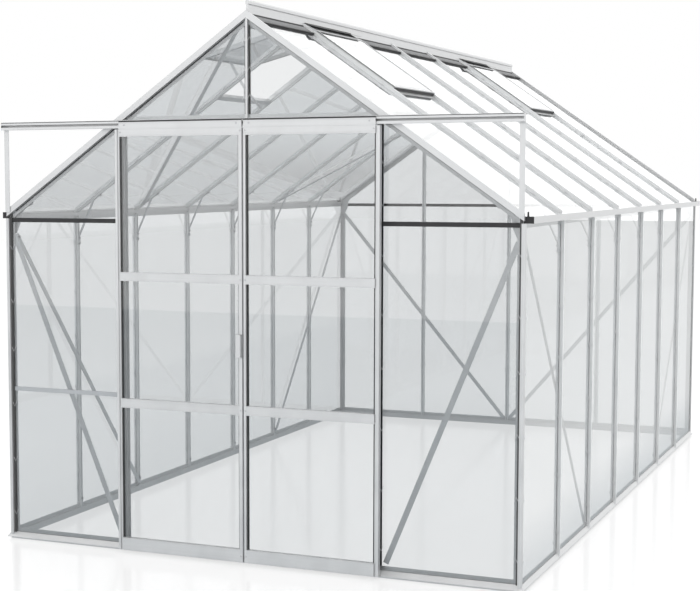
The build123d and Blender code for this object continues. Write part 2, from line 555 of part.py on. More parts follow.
# ---------------------------------------------------------------- gutter end caps
cap_low = BEAM_TOP + 2
cap_outline = [(CAP_IN, GUTTER_BOTTOM), (GUTTER_OUT, GUTTER_BOTTOM), (GUTTER_OUT, GUTTER_TOP),
               (13, GUTTER_TOP), (12, GUTTER_TOP + 18), (9, GUTTER_TOP + 20), (6, GUTTER_TOP + 18),
               (5, GUTTER_TOP), (3, GUTTER_TOP), (3, cap_low), (CAP_IN, cap_low)]
cap = side_frame(cap_outline, GUTTER_START - CAP_T, GUTTER_START)
save("gutter_end_caps", *sides(cap), *sides(to_rear(cap)))

# ---------------------------------------------------------------- braces
INSIDE = -INNER_N                # depth of the channels' inner faces


def strap(p0, p1, width=BRACE_W):
    """Corners of a flat strap of this width between two points of a plane."""
    length = math.hypot(p1[0] - p0[0], p1[1] - p0[1])
    a = (p1[0] - p0[0]) / length * width / 2
    b = (p1[1] - p0[1]) / length * width / 2
    return [(p0[0] - b, p0[1] + a), (p1[0] - b, p1[1] + a),
            (p1[0] + b, p1[1] - a), (p0[0] + b, p0[1] - a)]


def side_strap(p0, p1):
    """Flat strap on the inner face of the right wall between two (Y, Z) points."""
    return prism(strap(p0, p1), "x", HALF_W - INSIDE - BRACE_T, HALF_W - INSIDE)


STRAP_TOP = GUTTER_BOTTOM - 77
STRAP_LOW = SILL_TOP + 15
front_strap = prism(strap((HALF_W - 29, STRAP_TOP), (BAY + 31, STRAP_LOW + 16)), "y", -BACK_N,
                    -BACK_N + BRACE_T)
rear_strap = to_rear(prism(strap((HALF_W - 33, STRAP_TOP), (20, STRAP_LOW)), "y", INSIDE,
                           INSIDE + BRACE_T))
side_straps = [side_strap((INSIDE + 31, STRAP_TOP), (2 * BAY - 4, STRAP_LOW)),
               side_strap((LENGTH - INSIDE - 31, STRAP_TOP), (5 * BAY + 4, STRAP_LOW))]
save("wall_braces", *[part for shape in (front_strap, rear_strap, *side_straps)
                      for part in sides(shape)])

# Roof braces lie under the roof bars; their local plane is (Y, distance up the slope).
roof_plane = Plane(on_roof(0, 0, INNER_N), x_dir=(0, 1, 0), z_dir=outward)
low_d, high_d = (HALF_W - 38) / COS, 60 / COS
roof_straps = []
for high_y, low_y in ((20, 2 * BAY), (LENGTH - 20, 5 * BAY)):
    face = polygon(strap((high_y, -high_d), (low_y, -low_d)))
    roof_straps.append(extrude(roof_plane * face, amount=BRACE_T, dir=(-SIN, 0, -COS)))
save("roof_braces", *[part for shape in roof_straps for part in sides(shape)])

# Knee struts: a bent strip from each side bar to the roof bar above it.
KNEE_W, KNEE_T = 18.0, 3.0
knee_x = HALF_W - INSIDE
knee_low, knee_high_x = GUTTER_BOTTOM - 105, HALF_W - 104
under = -INNER_N + PANE_S        # roof plane to the roof channels' inner faces
tab = 46.0
knee_path = [(knee_x - KNEE_T / 2, knee_low - tab), (knee_x - KNEE_T / 2, knee_low),
             (knee_high_x, roof_z(knee_high_x, under) - KNEE_T / 2 / COS),
             (knee_high_x - tab * COS, roof_z(knee_high_x - tab * COS, under) - KNEE_T / 2 / COS)]


def strip_outline(path, thick):
    """Outline of a bent strip that follows a path, with mitred bends."""
    left, right = [], []
    for i, point in enumerate(path):
        here = Vector(*point)
        before = (here - Vector(*path[i - 1])).normalized() if i else None
        after = (Vector(*path[i + 1]) - here).normalized() if i + 1 < len(path) else None
        first, second = before or after, after or before
        n0, n1 = Vector(-first.Y, first.X), Vector(-second.Y, second.X)
        out = (n0 + n1).normalized()
        out = out * (thick / 2 / out.dot(n0))
        left.append((here.X + out.X, here.Y + out.Y))
        right.append((here.X - out.X, here.Y - out.Y))
    return left + right[::-1]


knee = strip_outline(knee_path, KNEE_T)
knees = [prism(knee, "y", y - KNEE_W / 2, y + KNEE_W / 2) for y in GRID]
save("knee_struts", *[part for shape in knees for part in sides(shape)])

# Corner gussets, curved on their inner edge.
GUSSET_T = 2.5
gusset_x = HALF_W + BACK_N
gusset_in, gusset_low = HALF_W - 148, STRAP_TOP + 6.5
curve_low = (HALF_W - 57, GUTTER_BOTTOM - 23)
curve_mid = (HALF_W - 74, GUTTER_BOTTOM + 34)
curve_high = (HALF_W - 124, GUTTER_BOTTOM + 63)
gusset_edge = Polyline(curve_low, (HALF_W - 35, gusset_low), (gusset_x, gusset_low),
                       (gusset_x, roof_z(gusset_x, 20)), (gusset_in, roof_z(gusset_in, 20)),
                       curve_high)
gusset_arc = ThreePointArc(curve_high, curve_mid, curve_low)
gusset_plane = Plane((0, INSIDE, 0), x_dir=(1, 0, 0), z_dir=(0, -1, 0))
gusset = extrude(gusset_plane * make_face(gusset_edge + gusset_arc), amount=GUSSET_T, dir=(0, 1, 0))
gusset = gusset - gutter_fill
gusset = max(gusset.solids(), key=lambda solid: solid.volume)
save("gusset_plates", *sides(gusset), *sides(to_rear(gusset)))

# ---------------------------------------------------------------- door track
groove_low, groove_high = TRACK_TOP - TRACK_GROOVE[1], TRACK_TOP - TRACK_GROOVE[0]
groove_back = TRACK_FRONT + GROOVE_D
track_outline = [(TRACK_FRONT, TRACK_BOTTOM), (TRACK_BACK, TRACK_BOTTOM), (TRACK_BACK, TRACK_TOP),
                 (TRACK_FRONT, TRACK_TOP), (TRACK_FRONT, groove_high), (groove_back, groove_high),
                 (groove_back, groove_low), (TRACK_FRONT, groove_low),
                 (TRACK_FRONT, TRACK_LIP_HIGH), (TRACK_FRONT + TRACK_T, TRACK_LIP_HIGH),
                 (TRACK_FRONT + TRACK_T, groove_low - TRACK_T),
                 (groove_back + TRACK_T, groove_low - TRACK_T),
                 (groove_back + TRACK_T, TRACK_TOP - TRACK_T),
                 (TRACK_BACK - TRACK_T, TRACK_TOP - TRACK_T),
                 (TRACK_BACK - TRACK_T, TRACK_BOTTOM + TRACK_T),
                 (TRACK_FRONT + TRACK_T, TRACK_BOTTOM + TRACK_T),
                 (TRACK_FRONT + TRACK_T, TRACK_LIP_LOW), (TRACK_FRONT, TRACK_LIP_LOW)]
track = prism(track_outline, "x", -TRACK_HALF, TRACK_HALF)
for end in sides(block(TRACK_HALF, TRACK_HALF + 2, TRACK_FRONT, TRACK_BACK, TRACK_BOTTOM,
                       TRACK_TOP)):
    track += end
save("door_track", track)
stay_x0, stay_x1 = TRACK_HALF - STAY_W, TRACK_HALF
stay_foot = GUTTER_TOP + 1
upright = (block(stay_x0, stay_x1, TRACK_BACK - STAY_T, TRACK_BACK, stay_foot, TRACK_BOTTOM)
           + block(stay_x0, stay_x1, TRACK_BACK, -CORNER_OUT, stay_foot, stay_foot + 14))
save("track_stays", *sides(upright))

# ---------------------------------------------------------------- roof vents
HINGE_X = RIDGE_WEB + VENT_BEAD_R
VENT_SIDE = 9.0                  # bar centre to the side of a vent
VENT_TOP_X = RIDGE_WING_END + 4


def vent_parts(y_start):
    """Frame and pane of a closed right-hand vent over the bay that starts here."""
    y0, y1 = y_start + VENT_SIDE, y_start + BAY - VENT_SIDE
    top_n, rebate = 1 + VENT_FRAME_D, 8.0
    frame = roof_pane(VENT_TOP_X, VENT_LOW_X, y0, y1, 1, top_n)
    frame -= roof_pane(VENT_TOP_X + VENT_FRAME_W, VENT_LOW_X - VENT_FRAME_W, y0 + VENT_FRAME_W,
                       y1 - VENT_FRAME_W, 0, top_n + 1)
    frame -= roof_pane(VENT_TOP_X + rebate, VENT_LOW_X - rebate, y0 + rebate, y1 - rebate,
                       top_n - 5, top_n + 1)
    inset = VENT_FRAME_W - WALL_T
    frame -= roof_pane(VENT_TOP_X + WALL_T, VENT_LOW_X - WALL_T, y0 + WALL_T, y1 - WALL_T,
                       0, top_n - 7) \
        - roof_pane(VENT_TOP_X + inset, VENT_LOW_X - inset, y0 + inset, y1 - inset, 0, top_n - 7)
    bead = Pos(HINGE_X, (y0 + y1) / 2, VENT_HINGE_Z) * Rot(90, 0, 0) * Cylinder(VENT_BEAD_R,
                                                                                y1 - y0)
    upper, lower = on_roof(VENT_TOP_X + 4, 0, top_n), on_roof(VENT_TOP_X + 4, 0, top_n / 2)
    leaf = prism([(HINGE_X, VENT_HINGE_Z + 3), upper[::2], lower[::2],
                  (HINGE_X, VENT_HINGE_Z - 3)], "y", y0, y1)
    pane = roof_pane(VENT_TOP_X + rebate, VENT_LOW_X - rebate, y0 + rebate, y1 - rebate,
                     top_n - 5, top_n - 5 + GLASS_T)
    return frame + bead + leaf, pane


def left(shape):
    """Mirror image on the left slope."""
    return mirror(shape, about=Plane.YZ)


hinge_line = Axis((HINGE_X, 0, VENT_HINGE_Z), (0, 1, 0))
closed = [vent_parts(BAY * k) for k in VENT_BAYS]
open_frame, open_pane = [left(part.rotate(hinge_line, -VENT_OPEN_DEG)) for part in closed[0]]
vents = [*closed, tuple(left(part) for part in closed[1])]
save("vent_frames", *[frame for frame, _ in vents], open_frame)
save("vent_glass", *[pane for _, pane in vents], open_pane)

# The open vent rests on a curved arm, held by an upright on the bar below it.
ARM_T, ARM_W = 3.0, 14.0
arm_y = BAY * (VENT_BAYS[0] + 0.5)
arm_line = ThreePointArc((-VENT_LOW_X - 84, RIDGE_LINE_Z - 123),
                         (-VENT_LOW_X + 2, RIDGE_LINE_Z - 273),
                         (-VENT_LOW_X + 93, RIDGE_LINE_Z - 378))
arm_face = make_face(offset(arm_line, ARM_W / 2))
sill_bars = [roof_pane(*VENT_SILL, BAY * k + 14, BAY * (k + 1) - 14, INNER_N, 1.0)
             - roof_pane(VENT_SILL[0] + 2, VENT_SILL[1] - 2, BAY * k, BAY * (k + 1),
                         INNER_N + 2, -1.0) for k in VENT_BAYS]
keeper = left(block(VENT_SILL[0], VENT_SILL[0] + 12, arm_y + ARM_T / 2, arm_y + 1.5 * ARM_T,
                    RIDGE_LINE_Z - 327, RIDGE_LINE_Z - 273))
save("vent_sills", *sill_bars, left(sill_bars[1]), left(sill_bars[0]) + keeper)
arm_plane = Plane((0, arm_y - ARM_T / 2, 0), x_dir=(1, 0, 0), z_dir=(0, -1, 0))
arm = extrude(arm_plane * arm_face, amount=ARM_T, dir=(0, 1, 0)) - open_frame - open_pane
arm = min(arm.solids(), key=lambda solid: solid.center().Z)
save("vent_arm", arm)

# ---------------------------------------------------------------- door leaves


lip_tube = rect(0, LIP_W, LEAF_FRONT, LEAF_BACK) \
    - rect(WALL_T, LIP_W - WALL_T, LEAF_FRONT + WALL_T, LEAF_BACK - WALL_T)
lip_step = rect(LIP_W, STEP_W, LEAF_FRONT + STEP_BACK, LEAF_BACK) \
    - rect(LIP_W, STEP_W - WALL_T, LEAF_FRONT + STEP_BACK + WALL_T, LEAF_BACK - WALL_T)
lip_section = lip_tube + lip_step        # outer stile (X, Y), outer edge at zero


def meet_section(width):
    """Meeting stile (X, Y) of this width, with its meeting edge at zero."""
    return rect(0, width, LEAF_FRONT, LEAF_BACK) \
        - rect(WALL_T, width - WALL_T, LEAF_FRONT + WALL_T, LEAF_BACK - WALL_T)


def rail(x0, x1, z0, z1):
    """Hollow horizontal rail of the leaf."""
    return block(x0, x1, LEAF_FRONT, LEAF_BACK, z0, z1) \
        - block(x0, x1, LEAF_FRONT + WALL_T, LEAF_BACK - WALL_T, z0 + WALL_T, z1 - WALL_T)


GLASS_BACK = LEAF_GLASS_FRONT + GLASS_T
BEAD = 8.0


def right_leaf(meet_w):
    """Parts of a right-hand leaf in its closed place, with a meeting stile of this width."""
    parts = {}
    height = LEAF_TOP - LEAF_BOTTOM
    low = Plane((0, 0, LEAF_BOTTOM))
    lip = mirror(extrude(low * lip_section, amount=height, dir=(0, 0, 1)), about=Plane.YZ)
    meet = extrude(low * meet_section(meet_w), amount=height, dir=(0, 0, 1))
    parts["stiles"] = [Pos(LEAF_OUT, 0, 0) * lip, Pos(LEAF_IN, 0, 0) * meet]
    x0, x1 = LEAF_IN + meet_w, LEAF_OUT - STEP_W
    top = rail(x0, x1, TOP_PLATE[0], LEAF_TOP)
    plate = block(LEAF_IN, x1, LEAF_FRONT, LEAF_FRONT + PLATE_T, LEAF_TOP, TOP_PLATE[1])
    parts["rails"] = [top + plate, *[rail(x0, x1, *zs) for zs in MID_RAILS],
                      rail(x0, x1, *BOTTOM_RAIL)]
    levels = [BOTTOM_RAIL[1], *MID_RAILS[1], *MID_RAILS[0], TOP_PLATE[0]]
    parts["glass"], parts["seals"] = [], []
    for z0, z1 in zip(levels[::2], levels[1::2]):
        parts["glass"].append(block(x0, x1, LEAF_GLASS_FRONT, GLASS_BACK, z0, z1))
        for u0, u1 in ((x0, x0 + BEAD), (x1 - BEAD, x1)):
            parts["seals"].append(block(u0, u1, GLASS_BACK, GLASS_BACK + 4, z0, z1))
    rollers = []
    for x in (LEAF_IN + ROLLER_INSET, LEAF_OUT - ROLLER_INSET):
        axle = Plane((x, LEAF_FRONT + PLATE_T, ROLLER_Z), x_dir=(1, 0, 0), z_dir=(0, 1, 0))
        reach = TRACK_BACK - 8 - LEAF_FRONT - PLATE_T
        pin = extrude(axle * Circle(AXLE_R), amount=reach)
        wheel = extrude(axle.offset(reach - ROLLER_W) * Circle(ROLLER_R), amount=ROLLER_W)
        rollers.append(pin + wheel)
    parts["rollers"] = rollers
    return parts


for side, flip in (("right", False), ("left", True)):
    for name, shapes in right_leaf(MEET_W[side]).items():
        if flip:
            shapes = [mirror(shape, about=Plane.YZ) for shape in shapes]
        save(f"{side}_door_{name}", *shapes)

handle = block(-LEAF_IN - HANDLE_W, -LEAF_IN, LEAF_FRONT - HANDLE_OUT, LEAF_FRONT,
               HANDLE_Z - HANDLE_H / 2, HANDLE_Z + HANDLE_H / 2)
handle = fillet(handle.edges().filter_by(Axis.Z).group_by(Axis.Y)[0], 5)
save("left_door_handle", handle)
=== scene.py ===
"""Glass greenhouse: finishes, glazing clips, fixings, door details, studio floor, lamps and camera."""

import logging
import math
from dataclasses import dataclass
from enum import Enum
from typing import Iterable, Sequence

import bmesh
import bpy
from mathutils import Matrix, Vector


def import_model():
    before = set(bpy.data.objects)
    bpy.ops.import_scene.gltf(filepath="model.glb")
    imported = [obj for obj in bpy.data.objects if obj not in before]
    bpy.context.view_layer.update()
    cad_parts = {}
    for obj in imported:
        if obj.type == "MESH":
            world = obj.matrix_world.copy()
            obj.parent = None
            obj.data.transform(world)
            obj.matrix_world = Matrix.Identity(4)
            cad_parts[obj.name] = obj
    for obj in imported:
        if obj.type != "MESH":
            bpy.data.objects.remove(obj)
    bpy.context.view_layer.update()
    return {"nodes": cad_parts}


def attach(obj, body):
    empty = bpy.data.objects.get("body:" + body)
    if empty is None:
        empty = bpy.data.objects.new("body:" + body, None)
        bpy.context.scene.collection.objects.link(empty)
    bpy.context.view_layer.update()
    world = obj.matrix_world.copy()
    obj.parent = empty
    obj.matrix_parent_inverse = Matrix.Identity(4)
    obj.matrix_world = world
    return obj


LOG = logging.getLogger("greenhouse")
Point = tuple[float, float, float]
Colour = tuple[float, float, float]
Span = tuple[float, float]
Tree = bpy.types.NodeTree
Socket = bpy.types.NodeSocket
Shape = bmesh.types.BMesh

ROOF_PITCH = 35.03
SIDES = (-1, 1)
NOISE_SPAN = (0.3, 0.7)  # where nearly all of a noise texture's values lie
ANY_BOUNCE = 0.5  # ray depths are whole numbers, so this tells none from one or more


class Run(Enum):
    """Direction in which an aluminium section was extruded, as a turn that lays it along Z."""

    UPRIGHT = (0.0, 0.0, 0.0)
    ACROSS = (0.0, math.radians(90), 0.0)
    LENGTHWISE = (math.radians(90), 0.0, 0.0)
    RIGHT_SLOPE = (0.0, math.radians(90 - ROOF_PITCH), 0.0)
    LEFT_SLOPE = (0.0, math.radians(ROOF_PITCH - 90), 0.0)


class Body(Enum):
    """CAD bodies that pieces ride on."""

    BUILDING = "root"
    LEFT_LEAF = "left_door"
    RIGHT_LEAF = "right_door"


# ------------------------------------------------------------------ node helpers
def feed(tree: Tree, value: object, target: Socket) -> None:
    """Join a socket to an input, or give the input a value of its own.

    Args:
        tree: The node tree.
        value: The socket to join, a number, or a colour of three numbers for a colour input.
        target: The input.
    """
    if isinstance(value, Socket):
        tree.links.new(value, target)
    elif target.type == "RGBA":
        target.default_value = (*value, 1.0)
    else:
        target.default_value = value


def noise(tree: Tree, vector: Socket, scale: float, detail: float) -> Socket:
    """Noise texture.

    Args:
        tree: The node tree.
        vector: Where the texture is read.
        scale: Its scale.
        detail: Its detail.

    Returns:
        The texture's factor.
    """
    texture = tree.nodes.new("ShaderNodeTexNoise")
    feed(tree, vector, texture.inputs["Vector"])
    feed(tree, scale, texture.inputs["Scale"])
    feed(tree, detail, texture.inputs["Detail"])
    return texture.outputs["Fac"]


def remap(tree: Tree, value: Socket, source: Span, result: Span) -> Socket:
    """Map one range of a value onto another.

    Args:
        tree: The node tree.
        value: The value to map.
        source: The range that it comes from.
        result: The range that it goes to.

    Returns:
        The mapped value.
    """
    node = tree.nodes.new("ShaderNodeMapRange")
    for name, number in zip(("From Min", "From Max", "To Min", "To Max"), (*source, *result)):
        feed(tree, number, node.inputs[name])
    feed(tree, value, node.inputs["Value"])
    return node.outputs["Result"]


def blend(tree: Tree, share: Socket, first: object, second: object) -> Socket:
    """Mix two colours.

    Args:
        tree: The node tree.
        share: The share of the second colour.
        first: A colour or a socket.
        second: A colour or a socket.

    Returns:
        The mixed colour.
    """
    node = tree.nodes.new("ShaderNodeMix")
    node.data_type = "RGBA"
    for name, value in (("Factor", share), ("A", first), ("B", second)):
        feed(tree, value, node.inputs[name])
    return node.outputs["Result"]


def mix_shaders(tree: Tree, share: object, first: Socket, second: Socket) -> Socket:
    """Mix two shaders.

    Args:
        tree: The node tree.
        share: The share of the second shader, a number or a socket.
        first: The first shader.
        second: The second shader.

    Returns:
        The mixed shader.
    """
    node = tree.nodes.new("ShaderNodeMixShader")
    for key, value in (("Fac", share), (1, first), (2, second)):
        feed(tree, value, node.inputs[key])
    return node.outputs["Shader"]


def glow(tree: Tree, kind: str, colour: object, strength: float) -> Socket:
    """Background or emission shader.

    Args:
        tree: The node tree.
        kind: Background or Emission.
        colour: A colour or a socket.
        strength: How bright it is, where 1 is white.

    Returns:
        The shader.
    """
    node = tree.nodes.new(f"ShaderNode{kind}")
    feed(tree, colour, node.inputs["Color"])
    feed(tree, strength, node.inputs["Strength"])
    return node.outputs[kind]


def by_ray(tree: Tree, seen: Socket, mirrored: Socket, bounced: Socket) -> Socket:
    """Choose a shader by what the ray has met so far.

    Args:
        tree: The node tree.
        seen: For what is seen directly or through glass.
        mirrored: For what metal and glass mirror.
        bounced: For light that reaches a surface after a diffuse bounce.

    Returns:
        The chosen shader.
    """
    path = tree.nodes.new("ShaderNodeLightPath")
    chosen = seen
    for depth, shader in (("Glossy Depth", mirrored), ("Diffuse Depth", bounced)):
        test = tree.nodes.new("ShaderNodeMath")
        test.operation = "GREATER_THAN"
        feed(tree, path.outputs[depth], test.inputs[0])
        feed(tree, ANY_BOUNCE, test.inputs[1])
        chosen = mix_shaders(tree, test.outputs["Value"], chosen, shader)
    return chosen


def open_group(name: str, inputs: dict[str, str]) -> tuple[Tree, bpy.types.Node, bpy.types.Node]:
    """Start a grain group, which gives a colour, a roughness and a height.

    Args:
        name: The group's name.
        inputs: Kind of each of its inputs.

    Returns:
        The group, its input node and its output node.
    """
    group = bpy.data.node_groups.new(name, "ShaderNodeTree")
    outputs = {"Color": "Color", "Roughness": "Float", "Height": "Float"}
    for way, sockets in (("INPUT", inputs), ("OUTPUT", outputs)):
        for socket, kind in sockets.items():
            group.interface.new_socket(socket, in_out=way, socket_type=f"NodeSocket{kind}")
    return group, group.nodes.new("NodeGroupInput"), group.nodes.new("NodeGroupOutput")


def extrusion_grain_group() -> Tree:
    """Group that turns a base colour into drawn aluminium: fine die lines, soft mottling and handling marks.

    Returns:
        A shader node group with Vector, Base and Strength inputs and Color, Roughness and Height outputs.
    """
    kinds = {"Vector": "Vector", "Base": "Color", "Strength": "Float"}
    group, entry, leave = open_group("drawn_metal_grain", kinds)
    stretch = group.nodes.new("ShaderNodeMapping")
    stretch.inputs["Scale"].default_value = (900.0, 900.0, 5.0)
    feed(group, entry.outputs["Vector"], stretch.inputs["Vector"])
    lines = noise(group, stretch.outputs["Vector"], scale=1.0, detail=3.0)
    cloud = noise(group, entry.outputs["Vector"], scale=7.0, detail=5.0)
    both = group.nodes.new("ShaderNodeMath")
    both.operation = "MULTIPLY"
    feed(group, remap(group, cloud, NOISE_SPAN, (0.93, 1.05)), both.inputs[0])
    feed(group, remap(group, lines, NOISE_SPAN, (0.96, 1.03)), both.inputs[1])
    shade = group.nodes.new("ShaderNodeVectorMath")
    shade.operation = "SCALE"
    feed(group, entry.outputs["Base"], shade.inputs[0])
    feed(group, both.outputs["Value"], shade.inputs["Scale"])
    colour = blend(group, entry.outputs["Strength"], entry.outputs["Base"], shade.outputs["Vector"])
    feed(group, colour, leave.inputs["Color"])
    feed(group, remap(group, cloud, NOISE_SPAN, (0.38, 0.52)), leave.inputs["Roughness"])
    feed(group, lines, leave.inputs["Height"])
    return group


def moulded_grain_group() -> Tree:
    """Group for rubber and plastic: fine pitting and a bloom of dust.

    Returns:
        A shader node group with Vector, Base and Dust inputs and Color, Roughness and Height outputs.
    """
    kinds = {"Vector": "Vector", "Base": "Color", "Dust": "Color"}
    group, entry, leave = open_group("moulded_grain", kinds)
    pits = noise(group, entry.outputs["Vector"], scale=700.0, detail=2.0)
    bloom = noise(group, entry.outputs["Vector"], scale=11.0, detail=6.0)
    amount = remap(group, bloom, (0.45, 0.8), (0.0, 0.35))
    colour = blend(group, amount, entry.outputs["Base"], entry.outputs["Dust"])
    feed(group, colour, leave.inputs["Color"])
    feed(group, remap(group, bloom, (0.0, 1.0), (0.55, 0.75)), leave.inputs["Roughness"])
    feed(group, pits, leave.inputs["Height"])
    return group


def new_material(name: str) -> tuple[bpy.types.Material, Tree]:
    """Start a material, and give it with its node tree."""
    material = bpy.data.materials.new(name)
    material.use_nodes = True
    return material, material.node_tree


def grain_surface(tree: Tree, group: Tree, vector: Socket, values: dict[str, object], relief: Span) -> None:
    """Drive a material's shader with a grain group.

    Args:
        tree: The material's node tree.
        group: The grain group.
        vector: Where the grain is read.
        values: The group's other inputs.
        relief: Strength and distance of the bump.
    """
    shader = tree.nodes["Principled BSDF"]
    grain = tree.nodes.new("ShaderNodeGroup")
    grain.node_tree = group
    for name, value in {"Vector": vector, **values}.items():
        feed(tree, value, grain.inputs[name])
    bump = tree.nodes.new("ShaderNodeBump")
    for name, value in zip(("Strength", "Distance", "Height"), (*relief, grain.outputs["Height"])):
        feed(tree, value, bump.inputs[name])
    feed(tree, grain.outputs["Color"], shader.inputs["Base Color"])
    feed(tree, grain.outputs["Roughness"], shader.inputs["Roughness"])
    feed(tree, bump.outputs["Normal"], shader.inputs["Normal"])


# ------------------------------------------------------------------ finishes
@dataclass(frozen=True)
class DrawnMetal:
    """Mill-finish aluminium, flat strip or wire, drawn along one direction."""

    name: str
    colour: Colour
    run: Run = Run.UPRIGHT
    metallic: float = 0.55
    strength: float = 1.0
    relief: Span = (0.12, 0.0001)

    def material(self, grain: Tree) -> bpy.types.Material:
        """Build the material.

        Args:
            grain: The drawn metal's grain group.

        Returns:
            The new material.
        """
        material, tree = new_material(self.name)
        place = tree.nodes.new("ShaderNodeTexCoord")
        turn = tree.nodes.new("ShaderNodeMapping")
        turn.inputs["Rotation"].default_value = self.run.value
        feed(tree, place.outputs["Object"], turn.inputs["Vector"])
        values = {"Base": self.colour, "Strength": self.strength}
        grain_surface(tree, grain, turn.outputs["Vector"], values, self.relief)
        tree.nodes["Principled BSDF"].inputs["Metallic"].default_value = self.metallic
        return material


@dataclass(frozen=True)
class Moulded:
    """Rubber seal or moulded plastic."""

    name: str
    colour: Colour
    dust: Colour
    relief: Span = (0.2, 0.0002)

    def material(self, grain: Tree) -> bpy.types.Material:
        """Build the material.

        Args:
            grain: The moulded surface's grain group.

        Returns:
            The new material.
        """
        material, tree = new_material(self.name)
        place = tree.nodes.new("ShaderNodeTexCoord")
        values = {"Base": self.colour, "Dust": self.dust}
        grain_surface(tree, grain, place.outputs["Object"], values, self.relief)
        return material


@dataclass(frozen=True)
class ClearPane:
    """Toughened horticultural glass with a faint blue-grey tint."""

    name: str = "clear_horticultural_glass"
    tint: Colour = (0.797, 0.807, 0.812)
    lamp_tint: Colour = (0.95, 0.955, 0.955)
    ior: float = 1.5

    def material(self) -> bpy.types.Material:
        """Build the material. Lamps shine through it, as they do through real panes.

        Returns:
            The new material.
        """
        material, tree = new_material(self.name)
        shader = tree.nodes["Principled BSDF"]
        values = {"Base Color": self.tint, "Roughness": 0.0, "IOR": self.ior, "Transmission Weight": 1.0}
        for name, value in values.items():
            feed(tree, value, shader.inputs[name])
        path = tree.nodes.new("ShaderNodeLightPath")
        clear = tree.nodes.new("ShaderNodeBsdfTransparent")
        feed(tree, self.lamp_tint, clear.inputs["Color"])
        is_shadow = path.outputs["Is Shadow Ray"]
        mixed = mix_shaders(tree, is_shadow, shader.outputs["BSDF"], clear.outputs["BSDF"])
        feed(tree, mixed, tree.nodes["Material Output"].inputs["Surface"])
        return material


# The frame's aluminium is set darker and the bars' aluminium much lighter than one metal would be: painted
# shade on the frame, painted light on the bars, for how the light falls on their faces.
ALUMINIUM = (0.595, 0.60, 0.605)
BAR_ALUMINIUM_PAINTED_LIGHT = (0.84, 0.85, 0.855)
STRIP_METAL = (0.60, 0.61, 0.62)
MID_BAR_METAL = (0.42, 0.435, 0.45)
SPRING_STEEL = (0.72, 0.72, 0.73)
BOLT_METAL = (0.5, 0.5, 0.51)
BLACK_RUBBER = (0.060, 0.060, 0.061)
BLACK_PLASTIC = (0.016, 0.016, 0.017)
# Grey of the sheets on the ridge's wing and on closed vents' hinge leaves: painted shade.
PAINTED_SHADE_GREY = (0.17, 0.173, 0.177)
FLASHING_DUST = (0.24, 0.24, 0.235)
NYLON = (0.55, 0.54, 0.50)
DUST = (0.07, 0.07, 0.068)


class Finishes:
    """Every material of the greenhouse, made once."""

    def __init__(self) -> None:
        """Build the node groups and the materials."""
        metal, moulded = extrusion_grain_group(), moulded_grain_group()
        self.aluminium = {
            run: DrawnMetal(f"mill_aluminium_{run.name.lower()}", ALUMINIUM, run).material(metal)
            for run in Run}
        # Lighter copies of the aluminium for the bars: painted light.
        self.bars = {
            run: DrawnMetal(f"bar_aluminium_painted_light_{run.name.lower()}", BAR_ALUMINIUM_PAINTED_LIGHT, run).material(metal)
            for run in (Run.UPRIGHT, Run.RIGHT_SLOPE, Run.LEFT_SLOPE)}
        self.strip = DrawnMetal("brace_strip_metal", STRIP_METAL).material(metal)
        self.mid_bar = DrawnMetal("joint_strip_metal", MID_BAR_METAL).material(metal)
        self.wire = DrawnMetal("spring_wire", SPRING_STEEL, metallic=0.9, strength=0.4).material(metal)
        self.fixing = DrawnMetal("bolt_metal", BOLT_METAL, metallic=0.9, strength=0.6).material(metal)
        self.rubber = Moulded("glazing_rubber", BLACK_RUBBER, DUST).material(moulded)
        self.plastic = Moulded("black_trim_plastic", BLACK_PLASTIC, DUST).material(moulded)
        # Grey sheets for the ridge: painted shade.
        self.painted_shade_sheet = Moulded("ridge_painted_shade_grey", PAINTED_SHADE_GREY, FLASHING_DUST).material(moulded)
        self.nylon = Moulded("roller_nylon", NYLON, DUST).material(moulded)
        self.glass = ClearPane().material()


@dataclass
class FrameDress:
    """Gives each CAD node its finish."""

    finishes: Finishes

    def by_name(self) -> dict[str, bpy.types.Material]:
        """Finish of each node that isn't glass, a seal or a roller."""
        look = self.finishes
        metal, bars = look.aluminium, look.bars
        groups = (
            (metal[Run.UPRIGHT], ("corner_posts", "door_posts", "gable_post", "left_door_stiles",
                                  "right_door_stiles", "left_door_handle", "track_stays")),
            (metal[Run.ACROSS], ("sill_front", "sill_rear", "door_track", "left_door_rails",
                                 "right_door_rails")),
            (metal[Run.LENGTHWISE], ("sill_left", "sill_right", "gutters", "ridge", "vent_sills",
                                     "vent_frames")),
            (metal[Run.RIGHT_SLOPE], ("gable_rafters_right",)),
            (metal[Run.LEFT_SLOPE], ("gable_rafters_left",)),
            # The bars take the lighter aluminium: painted light.
            (bars[Run.UPRIGHT], ("side_bars_right", "side_bars_left", "rear_bars", "door_header")),
            (bars[Run.RIGHT_SLOPE], ("roof_bars_right",)),
            (bars[Run.LEFT_SLOPE], ("roof_bars_left",)),
            (look.strip, ("wall_braces", "roof_braces", "knee_struts", "gusset_plates", "vent_arm")),
            (look.mid_bar, ("panel_mid_bar",)),
            (look.plastic, ("eave_strips_front", "eave_strips_rear", "gutter_end_caps")),
        )
        return {name: material for material, names in groups for name in names}

    def dress(self, nodes: dict[str, bpy.types.Object]) -> None:
        """Assign the finishes.

        Args:
            nodes: The CAD nodes by name.
        """
        chosen = self.by_name()
        for name, node in nodes.items():
            if "glass" in name:
                material = self.finishes.glass
            elif "seals" in name or "gaskets" in name:
                material = self.finishes.rubber
            elif "rollers" in name:
                material = self.finishes.nylon
            else:
                material = chosen[name]
            node.data.materials.clear()
            node.data.materials.append(material)
            LOG.info("finish %s on %s", material.name, name)


# ------------------------------------------------------------------ mesh helpers
def keep_mesh(name: str, shape: Shape) -> bpy.types.Mesh:
    """Turn a finished bmesh into a mesh, and free the bmesh."""
    mesh = bpy.data.meshes.new(name)
    shape.to_mesh(mesh)
    shape.free()
    return mesh


